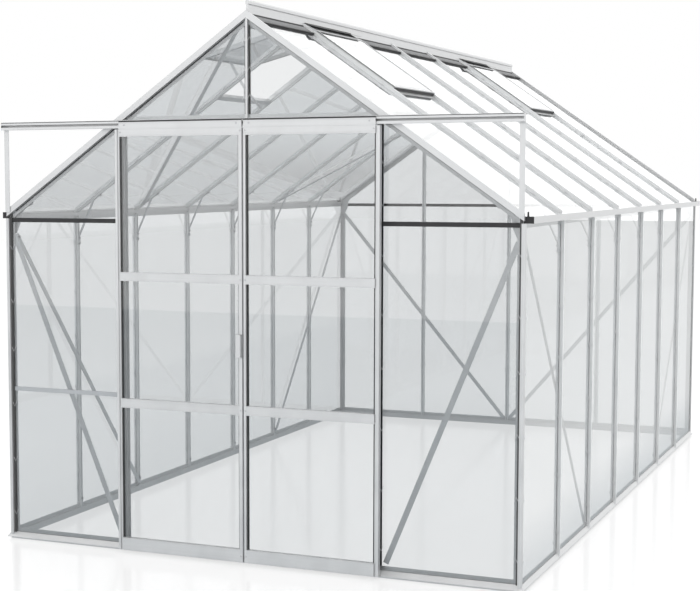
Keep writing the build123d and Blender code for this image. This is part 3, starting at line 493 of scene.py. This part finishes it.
def finish_piece(name: str, shape: Shape, material: bpy.types.Material, body: Body) -> None:
    """Turn a bmesh into a flat-shaded piece that rides on a body.

    Args:
        name: The piece's name.
        shape: The finished shape, freed here.
        material: Its finish.
        body: The CAD body that it moves with.
    """
    bmesh.ops.recalc_face_normals(shape, faces=shape.faces)
    for face in shape.faces:
        face.smooth = False
    mesh = keep_mesh(name, shape)
    piece = bpy.data.objects.new(name, mesh)
    bpy.context.scene.collection.objects.link(piece)
    mesh.materials.append(material)
    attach(piece, body.value)
    LOG.info("piece %s: %d faces", name, len(mesh.polygons))


def frame_matrix(origin: Sequence[float], across: Sequence[float], outward: Sequence[float]) -> Matrix:
    """Matrix that places a shape drawn with X across a bar, Y along it and Z outward.

    Args:
        origin: Where the local origin goes.
        across: Direction of the local X.
        outward: Direction of the local Z.

    Returns:
        The placing matrix.
    """
    x, z = Vector(across).normalized(), Vector(outward).normalized()
    turn = Matrix((x, z.cross(x), z)).transposed().to_4x4()
    return Matrix.Translation(Vector(origin)) @ turn


def add_copy(target: Shape, source: bpy.types.Mesh, place: Matrix) -> None:
    """Add a placed copy of a mesh to a growing shape.

    Args:
        target: The shape that grows.
        source: The mesh to copy.
        place: Where the copy goes.
    """
    before = len(target.verts)
    target.from_mesh(source)
    target.verts.ensure_lookup_table()
    bmesh.ops.transform(target, matrix=place, verts=target.verts[before:])


def wire_mesh(name: str, path: Iterable[Point], radius: float, sides: int = 6) -> bpy.types.Mesh:
    """Bent wire: a ring extruded from point to point.

    Args:
        name: The mesh's name.
        path: The points that the wire's middle passes.
        radius: The wire's radius.
        sides: Sides of its section.

    Returns:
        The wire's mesh.
    """
    points = [Vector(point) for point in path]
    shape = bmesh.new()
    ring = bmesh.ops.create_circle(shape, cap_ends=True, segments=sides, radius=radius)["verts"]
    turn = Vector((0, 0, 1)).rotation_difference(points[1] - points[0]).to_matrix().to_4x4()
    bmesh.ops.transform(shape, matrix=Matrix.Translation(points[0]) @ turn, verts=ring)
    edges = list(shape.edges)
    for here, after in zip(points[1:], [*points[2:], None]):
        grown = bmesh.ops.extrude_edge_only(shape, edges=edges)["geom"]
        verts = [item for item in grown if isinstance(item, bmesh.types.BMVert)]
        edges = [item for item in grown if isinstance(item, bmesh.types.BMEdge)]
        middle = sum((vert.co for vert in verts), Vector()) / len(verts)
        before = (here - middle).normalized()
        way = before if after is None else (before + (after - here).normalized()).normalized()
        facing = sum(((verts[i].co - middle).cross(verts[(i + 1) % len(verts)].co - middle)
                      for i in range(len(verts))), Vector()).normalized()
        if facing.dot(before) < 0:
            facing.negate()
        lean = facing.rotation_difference(way).to_matrix().to_4x4()
        bmesh.ops.transform(shape, verts=verts, matrix=Matrix.Translation(here) @ lean
                            @ Matrix.Translation(-middle))
    bmesh.ops.holes_fill(shape, edges=[edge for edge in shape.edges if edge.is_boundary], sides=sides)
    bmesh.ops.recalc_face_normals(shape, faces=shape.faces)
    return keep_mesh(name, shape)


def strip_bar(shape: Shape, size: Point, spot: Sequence[float], turn: Matrix = Matrix.Identity(4)) -> None:
    """Add a bar with softened edges to a growing shape.

    Args:
        shape: The shape that grows.
        size: The bar's size along its own X, Y and Z.
        spot: Where its middle goes.
        turn: How it is turned there.
    """
    before = set(shape.verts)
    rough = bmesh.ops.create_cube(shape, size=1.0)["verts"]
    bmesh.ops.scale(shape, verts=rough, vec=size)
    edges = list({edge for vert in rough for edge in vert.link_edges})
    bmesh.ops.bevel(shape, geom=edges, offset=min(size) * 0.3, segments=2, profile=0.5, affect="EDGES",
                    material=-1)
    verts = [vert for vert in shape.verts if vert not in before]
    bmesh.ops.transform(shape, matrix=Matrix.Translation(Vector(spot)) @ turn, verts=verts)


def middle_of(span: Span) -> float:
    """Middle of a span."""
    return (span[0] + span[1]) / 2


def width_of(span: Span) -> float:
    """Width of a span."""
    return span[1] - span[0]


# ------------------------------------------------------------------ the building's measures
@dataclass(frozen=True)
class Measures:
    """Sizes that the fittings share with the frame, in metres."""

    bay: float = 0.620
    bays_long: int = 7
    half_w: float = 1.252
    gable_nose: float = 0.012
    tall_nose: float = 0.015
    nose_half: float = 0.005
    inner: float = 0.0155
    flange: float = 0.0065
    gasket_end: float = 1.230
    gasket_out: float = 0.006
    roof_tan: float = 0.7009
    ridge_line: float = 2.457
    pane_depth: float = 0.012

    @property
    def length(self) -> float:
        """Front glass face to rear glass face."""
        return self.bay * self.bays_long

    @property
    def angle(self) -> float:
        """Roof pitch in radians."""
        return math.atan(self.roof_tan)

    def slope_normal(self, side: int) -> Vector:
        """Outward normal of the slope on side 1 (right) or -1 (left)."""
        return Vector((side * math.sin(self.angle), 0.0, math.cos(self.angle)))

    def slope_turn(self, side: int) -> Matrix:
        """Turn that lays a level strip on the slope of that side."""
        return Matrix.Rotation(side * self.angle, 4, "Y")

    def on_slope(self, x: float, y: float, lift: float, side: int) -> Vector:
        """Point over the roof glass.

        Args:
            x: Distance of the foot point from the ridge line.
            y: Distance from the front.
            lift: Height square to the glass.
            side: 1 for the right slope, -1 for the left.

        Returns:
            The point.
        """
        z = self.ridge_line - self.pane_depth / math.cos(self.angle) - self.roof_tan * x
        return Vector((side * x, y, z)) + self.slope_normal(side) * lift


# ------------------------------------------------------------------ fittings
@dataclass
class GlazingClips:
    """Bent spring-wire clips that hold the panes against the bars."""

    finishes: Finishes
    size: Measures
    wire_r: float = 0.0012
    reach: float = 0.023
    spread: float = 0.013
    bend_lift: float = 0.0008
    post_crest: float = 0.008
    gasket_span: Span = (-0.0085, 0.002)
    gasket_reach: float = 0.012
    wall_heights: tuple[float, ...] = (0.13, 0.39, 0.655, 0.92, 1.15, 1.405)
    roof_places: tuple[float, ...] = (0.16, 0.40, 0.64, 0.88, 1.12)
    door_post_heights: tuple[float, ...] = (1.62, 1.80)
    front_middle: tuple[float, ...] = (2.08, 2.20, 2.33)
    rear_middle: tuple[float, ...] = (1.62, 1.80, 1.94, 2.15, 2.32)

    def arm(self, crest: float) -> list[Point]:
        """One arm of a clip: local X across the bar, Y along it, Z outward.

        Args:
            crest: Height of the wire over the glass, beside the bar.

        Returns:
            The points of the arm, from the bar outward.
        """
        low = self.wire_r * 1.1
        side = self.size.nose_half + self.wire_r * 1.3
        return [(side, self.spread * 0.25, crest), (self.reach * 0.55, -self.spread, low + self.bend_lift),
                (self.reach, self.spread, low)]

    def spanning(self, nose: float) -> list[Point]:
        """Path of the clip that spans a bar with a nose that stands so far out of the glass."""
        arm = self.arm(nose + self.wire_r * 1.2)
        return [(-x, y, z) for x, y, z in reversed(arm)] + arm

    def over_gasket(self) -> list[Point]:
        """Path of the clip that runs over a corner post's gasket and down on the pane."""
        over = self.size.gasket_out + self.wire_r * 1.3
        outer, inner = self.gasket_span
        return [(outer, self.spread * 0.4, over), (inner, -self.spread, over),
                (self.gasket_reach, self.spread, self.wire_r * 1.1)]

    def build(self) -> None:
        """Build the clips of the walls and of the roof as two pieces."""
        s = self.size
        full = wire_mesh("clip_over_gable_bar", self.spanning(s.gable_nose), self.wire_r)
        tall = wire_mesh("clip_over_tall_bar", self.spanning(s.tall_nose), self.wire_r)
        half = wire_mesh("clip_beside_post", self.arm(self.post_crest), self.wire_r)
        corner = wire_mesh("clip_over_gasket", self.over_gasket(), self.wire_r)
        ends = ((0.0, -1, self.front_middle), (s.length, 1, (*self.wall_heights, *self.rear_middle)))
        walls, roof = bmesh.new(), bmesh.new()
        for side in SIDES:
            for y in (k * s.bay for k in range(1, s.bays_long)):
                for z in self.wall_heights:
                    add_copy(walls, tall, frame_matrix((side * s.half_w, y, z), (0, side, 0), (side, 0, 0)))
                for x in self.roof_places:
                    spot = s.on_slope(x, y, 0.0, side)
                    add_copy(roof, tall, frame_matrix(spot, (0, side, 0), s.slope_normal(side)))
            for y, way, _ in ends:
                for z in self.wall_heights:
                    add_copy(walls, half, frame_matrix((side * s.half_w, y, z), (0, -way, 0), (side, 0, 0)))
        for y, way, middle in ends:
            outward = (0, way, 0)
            for side in SIDES:
                for z in self.wall_heights:
                    add_copy(walls, corner, frame_matrix((side * s.gasket_end, y, z), (-side, 0, 0), outward))
                for z in (*self.wall_heights, *self.door_post_heights):
                    clip = half if way < 0 else full
                    add_copy(walls, clip, frame_matrix((side * s.bay, y, z), (-side * way, 0, 0), outward))
            for z in middle:
                add_copy(walls, full, frame_matrix((0.0, y, z), (way, 0, 0), outward))
        finish_piece("wall_glazing_clips", walls, self.finishes.wire, Body.BUILDING)
        finish_piece("roof_glazing_clips", roof, self.finishes.wire, Body.BUILDING)


@dataclass
class FrameFixings:
    """Nuts and bolts in the channels of the bars, at the braces, struts and gussets."""

    finishes: Finishes
    size: Measures
    nut: float = 0.0115
    nut_h: float = 0.005
    washer_r: float = 0.0075
    washer_t: float = 0.0012
    strip_t: float = 0.003
    gusset_t: float = 0.0025
    strut_heights: Span = (1.400, 1.425)
    strut_roof_x: float = 1.118
    foot_height: float = 0.075
    side_brace_ends: tuple[Span, ...] = ((0.0665, 1.45), (1.236, 0.07))
    front_brace_ends: tuple[Span, ...] = ((0.657, 0.078), (1.218, 1.45))
    gusset_bolts: tuple[Span, ...] = ((0.028, 1.478), (0.028, 1.50), (0.058, 1.60))

    def nut_mesh(self) -> bpy.types.Mesh:
        """Hexagon nut on a washer, standing on the local XY plane."""
        shape = bmesh.new()
        head = bmesh.ops.create_cone(shape, cap_ends=True, segments=6, radius1=self.nut / 2,
                                     radius2=self.nut / 2, depth=self.nut_h)["verts"]
        bmesh.ops.translate(shape, verts=head, vec=(0, 0, self.washer_t + self.nut_h / 2))
        rim = self.washer_t + self.nut_h * 0.9
        top = [edge for edge in shape.edges if all(vert.co.z > rim for vert in edge.verts)]
        bmesh.ops.bevel(shape, geom=top, offset=self.nut * 0.06, segments=1, profile=0.5, affect="EDGES",
                        material=-1)
        disc = bmesh.ops.create_cone(shape, cap_ends=True, segments=12, radius1=self.washer_r,
                                     radius2=self.washer_r, depth=self.washer_t)["verts"]
        bmesh.ops.translate(shape, verts=disc, vec=(0, 0, self.washer_t / 2))
        return keep_mesh("frame_nut", shape)

    def places(self, side: int) -> list[Matrix]:
        """Places of the nuts on one side of the building.

        Args:
            side: 1 for the right side, -1 for the left.

        Returns:
            One matrix for each nut.
        """
        s = self.size
        inward, along, across = (-side, 0, 0), (0, 1, 0), (1, 0, 0)
        on_strip = side * (s.half_w - s.inner - self.strip_t)
        found = []
        for y in (k * s.bay for k in range(1, s.bays_long)):
            found += [frame_matrix((on_strip, y, z), along, inward) for z in self.strut_heights]
            found.append(frame_matrix((side * (s.half_w - s.inner), y, self.foot_height), along, inward))
            under = s.on_slope(self.strut_roof_x, y, -s.inner - self.strip_t, side)
            found.append(frame_matrix(under, along, -s.slope_normal(side)))
        for gable, way in ((0.0, 1), (s.length, -1)):
            found += [frame_matrix((on_strip, gable + way * y, z), along, inward)
                      for y, z in self.side_brace_ends]
            on_gusset = gable + way * (s.inner + self.gusset_t)
            found += [frame_matrix((side * (s.half_w - x), on_gusset, z), across, (0, way, 0))
                      for x, z in self.gusset_bolts]
        found += [frame_matrix((side * x, s.flange + self.strip_t, z), across, along)
                  for x, z in self.front_brace_ends]
        return found

    def build(self) -> None:
        """Build all the frame's nuts as one piece."""
        nut, shape = self.nut_mesh(), bmesh.new()
        for side in SIDES:
            for place in self.places(side):
                add_copy(shape, nut, place)
        finish_piece("frame_nuts", shape, self.finishes.fixing, Body.BUILDING)


@dataclass
class RidgeTrim:
    """Rubber strips and grey sheets along the ridge, between the roof bars: the rubber strips are partly
    seals and partly painted shadow for the dark gaps at the ridge, the grey sheets are painted shade on the
    ridge's wing and on closed vents' hinge leaves.
    """

    finishes: Finishes
    size: Measures
    clear_of_bars: float = 0.020
    clear_of_vents: float = 0.022
    vent_bays: tuple[int, ...] = (1, 5)
    open_vent: tuple[int, int] = (-1, 1)
    hinge_rubber: tuple[Span, Span] = ((0.010, 2.4562), (0.007, 0.0045))
    web_painted_shadow: tuple[Span, Span] = ((0.009, 2.440), (0.005, 0.0085))
    wing_seal_and_shadow: tuple[Span, Span] = ((0.059, 0.0052), (0.010, 0.0066))
    wing_painted_shade: tuple[Span, Span] = ((0.031, 0.0051), (0.036, 0.001))
    leaf_inner: Span = (0.0115, 2.4531)
    leaf_outer: Span = (0.0700, 2.4371)
    leaf_lift: float = 0.0009
    cover_t: float = 0.001

    def upright(self, shape: Shape, side: int, y: float, strip: tuple[Span, Span]) -> None:
        """Add a level strip beside the ridge's web.

        Args:
            shape: The shape that grows.
            side: 1 for the right slope, -1 for the left.
            y: Middle of the bay.
            strip: Its distance from the ridge line and its height, then its width and its thickness.
        """
        (x, z), (width, thick) = strip
        strip_bar(shape, (width, self.size.bay - self.clear_of_bars, thick), (side * x, y, z))

    def sloped(self, shape: Shape, side: int, y: float, strip: tuple[Span, Span]) -> None:
        """Add a strip that lies along the slope.

        Args:
            shape: The shape that grows.
            side: 1 for the right slope, -1 for the left.
            y: Middle of the bay.
            strip: Its distance from the ridge line and its lift off the glass, then its width and its
                thickness.
        """
        (x, lift), (width, thick) = strip
        strip_bar(shape, (width, self.size.bay - self.clear_of_bars, thick),
                  self.size.on_slope(x, y, lift, side), self.size.slope_turn(side))

    def cover(self, shape: Shape, side: int, y: float) -> None:
        """Lay the grey sheet of painted shade on the hinge leaf of a closed vent.

        Args:
            shape: The shape that grows.
            side: 1 for the right slope, -1 for the left.
            y: Middle of the bay.
        """
        (near, high), (far, low) = self.leaf_inner, self.leaf_outer
        run, drop = far - near, high - low
        strip_bar(shape, (math.hypot(run, drop), self.size.bay - self.clear_of_vents, self.cover_t),
                  (side * (near + far) / 2, y, (high + low) / 2 + self.leaf_lift),
                  Matrix.Rotation(side * math.atan2(drop, run), 4, "Y"))

    def build(self) -> None:
        """Build the rubber and the flashing as two pieces."""
        rubber, grey = bmesh.new(), bmesh.new()
        for side in SIDES:
            for bay in range(self.size.bays_long):
                y = (bay + 0.5) * self.size.bay
                if bay in self.vent_bays:
                    self.upright(rubber, side, y, self.hinge_rubber)
                    if (side, bay) != self.open_vent:
                        self.cover(grey, side, y)
                    continue
                # Black strip at the foot of the web: painted shadow for the gap between web and wing.
                self.upright(rubber, side, y, self.web_painted_shadow)
                # Black strip at the wing's lower edge, a seal with painted shadow, then a grey sheet of
                # painted shade over the wing.
                self.sloped(rubber, side, y, self.wing_seal_and_shadow)
                self.sloped(grey, side, y, self.wing_painted_shade)
        finish_piece("ridge_rubber_and_painted_shadow", rubber, self.finishes.plastic, Body.BUILDING)
        finish_piece("ridge_painted_shade_sheets", grey, self.finishes.painted_shade_sheet, Body.BUILDING)


@dataclass
class TrackSeal:
    """Thin dust strip in the groove of the door track."""

    finishes: Finishes
    strip: Point = (2.500, 0.0018, 0.0022)
    spot: Point = (0.0, -0.0466, 1.9856)

    def build(self) -> None:
        """Build the strip."""
        shape = bmesh.new()
        strip_bar(shape, self.strip, self.spot)
        finish_piece("track_dust_strip", shape, self.finishes.rubber, Body.BUILDING)


@dataclass
class CapCheeks:
    """Inner cheeks of the moulded caps that close the gutters' ends."""

    finishes: Finishes
    size: Measures
    x: Span = (1.2437, 1.2549)
    y: Span = (0.0031, 0.0066)
    z: Span = (1.5552, 1.5680)

    def build(self) -> None:
        """Build the four cheeks as one piece."""
        shape = bmesh.new()
        cheek = (width_of(self.x), width_of(self.y), width_of(self.z))
        for side in SIDES:
            for y in (middle_of(self.y), self.size.length - middle_of(self.y)):
                strip_bar(shape, cheek, (side * middle_of(self.x), y, middle_of(self.z)))
        finish_piece("gutter_cap_cheeks", shape, self.finishes.plastic, Body.BUILDING)


@dataclass
class VentSealsAndShadowStrip:
    """Black seals on the side walls, and on the lower edge of each closed vent a black strip that stands in
    for the dark gap under the vent's edge (painted shadow).
    """

    finishes: Finishes
    size: Measures
    vents: tuple[tuple[int, int], ...] = ((1, 1), (1, 5), (-1, 5))
    slope_x: Span = (0.062, 0.448)
    beside: float = 0.0083
    wall_lift: Span = (0.0200, 0.0235)
    wall_t: float = 0.0010
    edge_lift: Span = (0.0030, 0.0190)
    edge_t: float = 0.0012
    edge_out: float = 0.0010
    edge_short: float = 0.006

    def build(self) -> None:
        """Build the seals as one piece."""
        s, shape = self.size, bmesh.new()
        run = width_of(self.slope_x) / math.cos(s.angle)
        for side, bay in self.vents:
            turn = s.slope_turn(side)
            walls = (bay * s.bay + self.beside, (bay + 1) * s.bay - self.beside)
            for y in walls:
                strip_bar(shape, (run, self.wall_t, width_of(self.wall_lift)),
                          s.on_slope(middle_of(self.slope_x), y, middle_of(self.wall_lift), side), turn)
            # Black strip on the vent's lower edge: painted shadow.
            low_x = self.slope_x[1] + self.edge_out
            strip_bar(shape, (self.edge_t, width_of(walls) - self.edge_short, width_of(self.edge_lift)),
                      s.on_slope(low_x, middle_of(walls), middle_of(self.edge_lift), side), turn)
        finish_piece("vent_seals_and_painted_shadow", shape, self.finishes.rubber, Body.BUILDING)


@dataclass
class LeafFittings:
    """Black strip along the plates' top edge, which stands in for the shadow gap between plate and track
    (painted shadow), pressed ribs and screws of one sliding leaf's plates.
    """

    finishes: Finishes
    body: Body
    side: int
    front: float = -0.056
    plate_x: Span = (0.004, 0.618)
    rail_x: Span = (0.020, 0.618)
    plate_ribs: tuple[float, ...] = (1.921, 1.950, 1.976)
    rails: tuple[Span, ...] = ((1.261, 1.301), (0.678, 0.720), (0.013, 0.071))
    rib_inset: float = 0.004
    rib_w: float = 0.0022
    rib_out: float = 0.0012
    painted_shadow_strip: Span = (0.0022, 0.0042)
    painted_shadow_strip_back: float = 0.00125
    painted_shadow_strip_z: float = 1.9819
    plate_screws: tuple[Span, ...] = ((0.030, 1.968), (0.012, 1.935), (0.590, 1.968), (0.610, 1.935))
    rail_screw_x: float = 0.012
    screw_r: float = 0.0042
    screw_dome: float = 0.6

    def rib(self, shape: Shape, x: Span, z: float) -> None:
        """Add one rib to the growing shape.

        Args:
            shape: The shape that grows.
            x: The rib's ends, from the middle of the doorway.
            z: Its height.
        """
        strip_bar(shape, (width_of(x), self.rib_out, self.rib_w),
                  (self.side * middle_of(x), self.front - self.rib_out / 2, z))

    def screw(self) -> bpy.types.Mesh:
        """Domed screw head, standing on the local XY plane."""
        shape = bmesh.new()
        bmesh.ops.create_uvsphere(shape, u_segments=12, v_segments=8, radius=self.screw_r)
        bmesh.ops.scale(shape, verts=shape.verts, vec=(1, 1, self.screw_dome))
        bmesh.ops.bisect_plane(shape, geom=[*shape.verts, *shape.edges, *shape.faces], plane_co=(0, 0, 0),
                               plane_no=(0, 0, 1), clear_inner=True)
        bmesh.ops.holes_fill(shape, edges=[edge for edge in shape.edges if edge.is_boundary], sides=12)
        return keep_mesh("plate_screw", shape)

    def build(self) -> None:
        """Build the black painted-shadow strip, the ribs and the screws."""
        painted_shadow_strip, ribs, heads = bmesh.new(), bmesh.new(), bmesh.new()
        # Black strip on the plate's top edge: painted shadow for the gap between plate and track.
        strip_bar(painted_shadow_strip, (width_of(self.plate_x), *self.painted_shadow_strip),
                  (self.side * middle_of(self.plate_x), self.front + self.painted_shadow_strip_back, self.painted_shadow_strip_z))
        for z in self.plate_ribs:
            self.rib(ribs, self.plate_x, z)
        for low, high in self.rails:
            for z in (low + self.rib_inset, high - self.rib_inset):
                self.rib(ribs, self.rail_x, z)
        screw = self.screw()
        for x, z in (*self.plate_screws, *((self.rail_screw_x, middle_of(rail)) for rail in self.rails)):
            add_copy(heads, screw, frame_matrix((self.side * x, self.front, z), (1, 0, 0), (0, -1, 0)))
        name = self.body.value
        finish_piece(f"{name}_brush", painted_shadow_strip, self.finishes.plastic, self.body)
        finish_piece(f"{name}_ribs", ribs, self.finishes.aluminium[Run.ACROSS], self.body)
        finish_piece(f"{name}_screws", heads, self.finishes.fixing, self.body)


# ------------------------------------------------------------------ studio
@dataclass
class Studio:
    """Camera, white floor, surroundings and lamps."""

    place: Point = (2.8953, -6.2774, 1.7291)
    yaw: float = 24.30
    pitch: float = -5.06
    roll: float = -0.13
    lens: float = 80.3
    sensor: float = 36.0
    shift: Span = (0.1277, 0.0291)
    far_clip: float = 200.0
    floor_x: Span = (-20.76, 20.76)
    floor_y: Span = (-11.84, 56.3)
    floor_z: float = -0.0005
    white: Colour = (1.0, 1.0, 1.0)
    surround: float = 1.6
    ambient: float = 0.62
    floor_glow: float = 0.77
    floor_lit: Colour = (0.33, 0.33, 0.33)
    floor_matt: Colour = (0.8, 0.8, 0.8)
    gloss_share: float = 0.16
    gloss_roughness: float = 0.12
    # Painted reflection tone of the floor under the building, where glass and metal mirror it.
    near_painted_reflection: Colour = (0.54, 0.585, 0.615)

    def camera(self) -> None:
        """Place the camera."""
        data = bpy.data.cameras.new("camera")
        data.lens, data.sensor_width = self.lens, self.sensor
        data.shift_x, data.shift_y = self.shift
        data.clip_end = self.far_clip
        yaw, pitch, roll = (math.radians(value) for value in (self.yaw, self.pitch, self.roll))
        view = Vector((-math.sin(yaw) * math.cos(pitch), math.cos(yaw) * math.cos(pitch), math.sin(pitch)))
        level = view.cross(Vector((0, 0, 1))).normalized()
        over = level.cross(view)
        right = level * math.cos(roll) + over * math.sin(roll)
        up = over * math.cos(roll) - level * math.sin(roll)
        turn = Matrix((right, up, -view)).transposed().to_4x4()
        camera = bpy.data.objects.new("camera", data)
        camera.matrix_world = Matrix.Translation(Vector(self.place)) @ turn
        bpy.context.scene.collection.objects.link(camera)
        bpy.context.scene.camera = camera

    def world(self) -> None:
        """White surroundings for what is seen or mirrored, and a plain level for the light that they give."""
        world = bpy.data.worlds.new("white_studio")
        world.use_nodes = True
        tree = world.node_tree
        tree.nodes.clear()
        levels = (1.0, self.surround, self.ambient)
        shaders = (glow(tree, "Background", self.white, strength) for strength in levels)
        output = tree.nodes.new("ShaderNodeOutputWorld")
        feed(tree, by_ray(tree, *shaders), output.inputs["Surface"])
        bpy.context.scene.world = world

    def floor(self) -> None:
        """Studio floor, a little glossy."""
        shape = bmesh.new()
        bmesh.ops.create_grid(shape, x_segments=1, y_segments=1, size=0.5)
        bmesh.ops.scale(shape, verts=shape.verts, vec=(width_of(self.floor_x), width_of(self.floor_y), 1))
        bmesh.ops.translate(shape, verts=shape.verts,
                            vec=(middle_of(self.floor_x), middle_of(self.floor_y), self.floor_z))
        mesh = keep_mesh("studio_floor", shape)
        floor = bpy.data.objects.new("studio_floor", mesh)
        bpy.context.scene.collection.objects.link(floor)
        mesh.materials.append(self.floor_material())

    def painted_reflection_tone(self, tree: Tree) -> Socket:
        """Painted reflection of the floor, the glow that glass and metal mirror: paler behind and right,
        darker left, standing in for how the studio's light falls on the floor.

        Args:
            tree: The floor material's node tree.

        Returns:
            The colour.
        """
        reflection_steps = (("Y", (3.0, 15.0), (0.92, 0.94, 0.95)), ("X", (1.2, 1.6), (0.99, 1.0, 1.0)),
                 ("X", (-1.2, -1.6), (0.20, 0.205, 0.21)), ("Y", (0.2, -0.2), (0.74, 0.80, 0.84)))
        place = tree.nodes.new("ShaderNodeTexCoord")
        split = tree.nodes.new("ShaderNodeSeparateXYZ")
        feed(tree, place.outputs["Object"], split.inputs["Vector"])
        tone = self.near_painted_reflection
        for axis, span, colour in reflection_steps:
            tone = blend(tree, remap(tree, split.outputs[axis], span, (0.0, 1.0)), tone, colour)
        return tone

    def floor_material(self) -> bpy.types.Material:
        """White for the eye, with the object's shadow and a faint mirror image; where glass and metal mirror
        it, a grey glow of painted reflection.

        Returns:
            The floor's material.
        """
        material, tree = new_material("studio_floor_white")
        tree.nodes.clear()
        lit, matt = tree.nodes.new("ShaderNodeBsdfDiffuse"), tree.nodes.new("ShaderNodeBsdfDiffuse")
        feed(tree, self.floor_lit, lit.inputs["Color"])
        feed(tree, self.floor_matt, matt.inputs["Color"])
        shaded = tree.nodes.new("ShaderNodeAddShader")
        feed(tree, glow(tree, "Emission", self.white, self.floor_glow), shaded.inputs[0])
        feed(tree, lit.outputs["BSDF"], shaded.inputs[1])
        gloss = tree.nodes.new("ShaderNodeBsdfGlossy")
        feed(tree, self.gloss_roughness, gloss.inputs["Roughness"])
        seen = mix_shaders(tree, self.gloss_share, shaded.outputs["Shader"], gloss.outputs["BSDF"])
        # What glass and metal mirror of the floor is this glow: painted reflection.
        mirrored = glow(tree, "Emission", self.painted_reflection_tone(tree), 1.0)
        output = tree.nodes.new("ShaderNodeOutputMaterial")
        feed(tree, by_ray(tree, seen, mirrored, matt.outputs["BSDF"]), output.inputs["Surface"])
        return material

    def lamp(self, name: str, place: Point, aim: Point, size: float, power: float) -> None:
        """Add one soft box.

        Args:
            name: The lamp's name.
            place: Where it hangs.
            aim: The point that it faces.
            size: Side of its square.
            power: Watts.
        """
        data = bpy.data.lights.new(name, "AREA")
        data.shape, data.size, data.energy = "SQUARE", size, power
        lamp = bpy.data.objects.new(name, data)
        way = (Vector(aim) - Vector(place)).to_track_quat("-Z", "Y")
        lamp.matrix_world = Matrix.Translation(Vector(place)) @ way.to_matrix().to_4x4()
        lamp.visible_glossy = False
        lamp.visible_camera = False
        lamp.visible_transmission = False
        bpy.context.scene.collection.objects.link(lamp)

    def build(self) -> None:
        """Build the whole studio."""
        bpy.context.scene.view_settings.view_transform = "Standard"
        self.camera()
        self.world()
        self.floor()
        self.lamp("key_from_front", (1.5, -9.5, 4.0), (0.0, 1.5, 1.2), size=4.0, power=390.0)
        self.lamp("top", (1.5, 2.0, 8.5), (0.0, 2.2, 1.0), size=4.0, power=280.0)


def main() -> None:
    """Dress the frame, add the fittings and set the studio."""
    logging.basicConfig(level=logging.INFO, format="%(message)s")
    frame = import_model()
    finishes = Finishes()
    size = Measures()
    FrameDress(finishes).dress(frame["nodes"])
    GlazingClips(finishes, size).build()
    FrameFixings(finishes, size).build()
    RidgeTrim(finishes, size).build()
    TrackSeal(finishes).build()
    CapCheeks(finishes, size).build()
    VentSealsAndShadowStrip(finishes, size).build()
    LeafFittings(finishes, Body.LEFT_LEAF, -1).build()
    LeafFittings(finishes, Body.RIGHT_LEAF, 1).build()
    Studio().build()


if __name__ == "__main__":
    main()
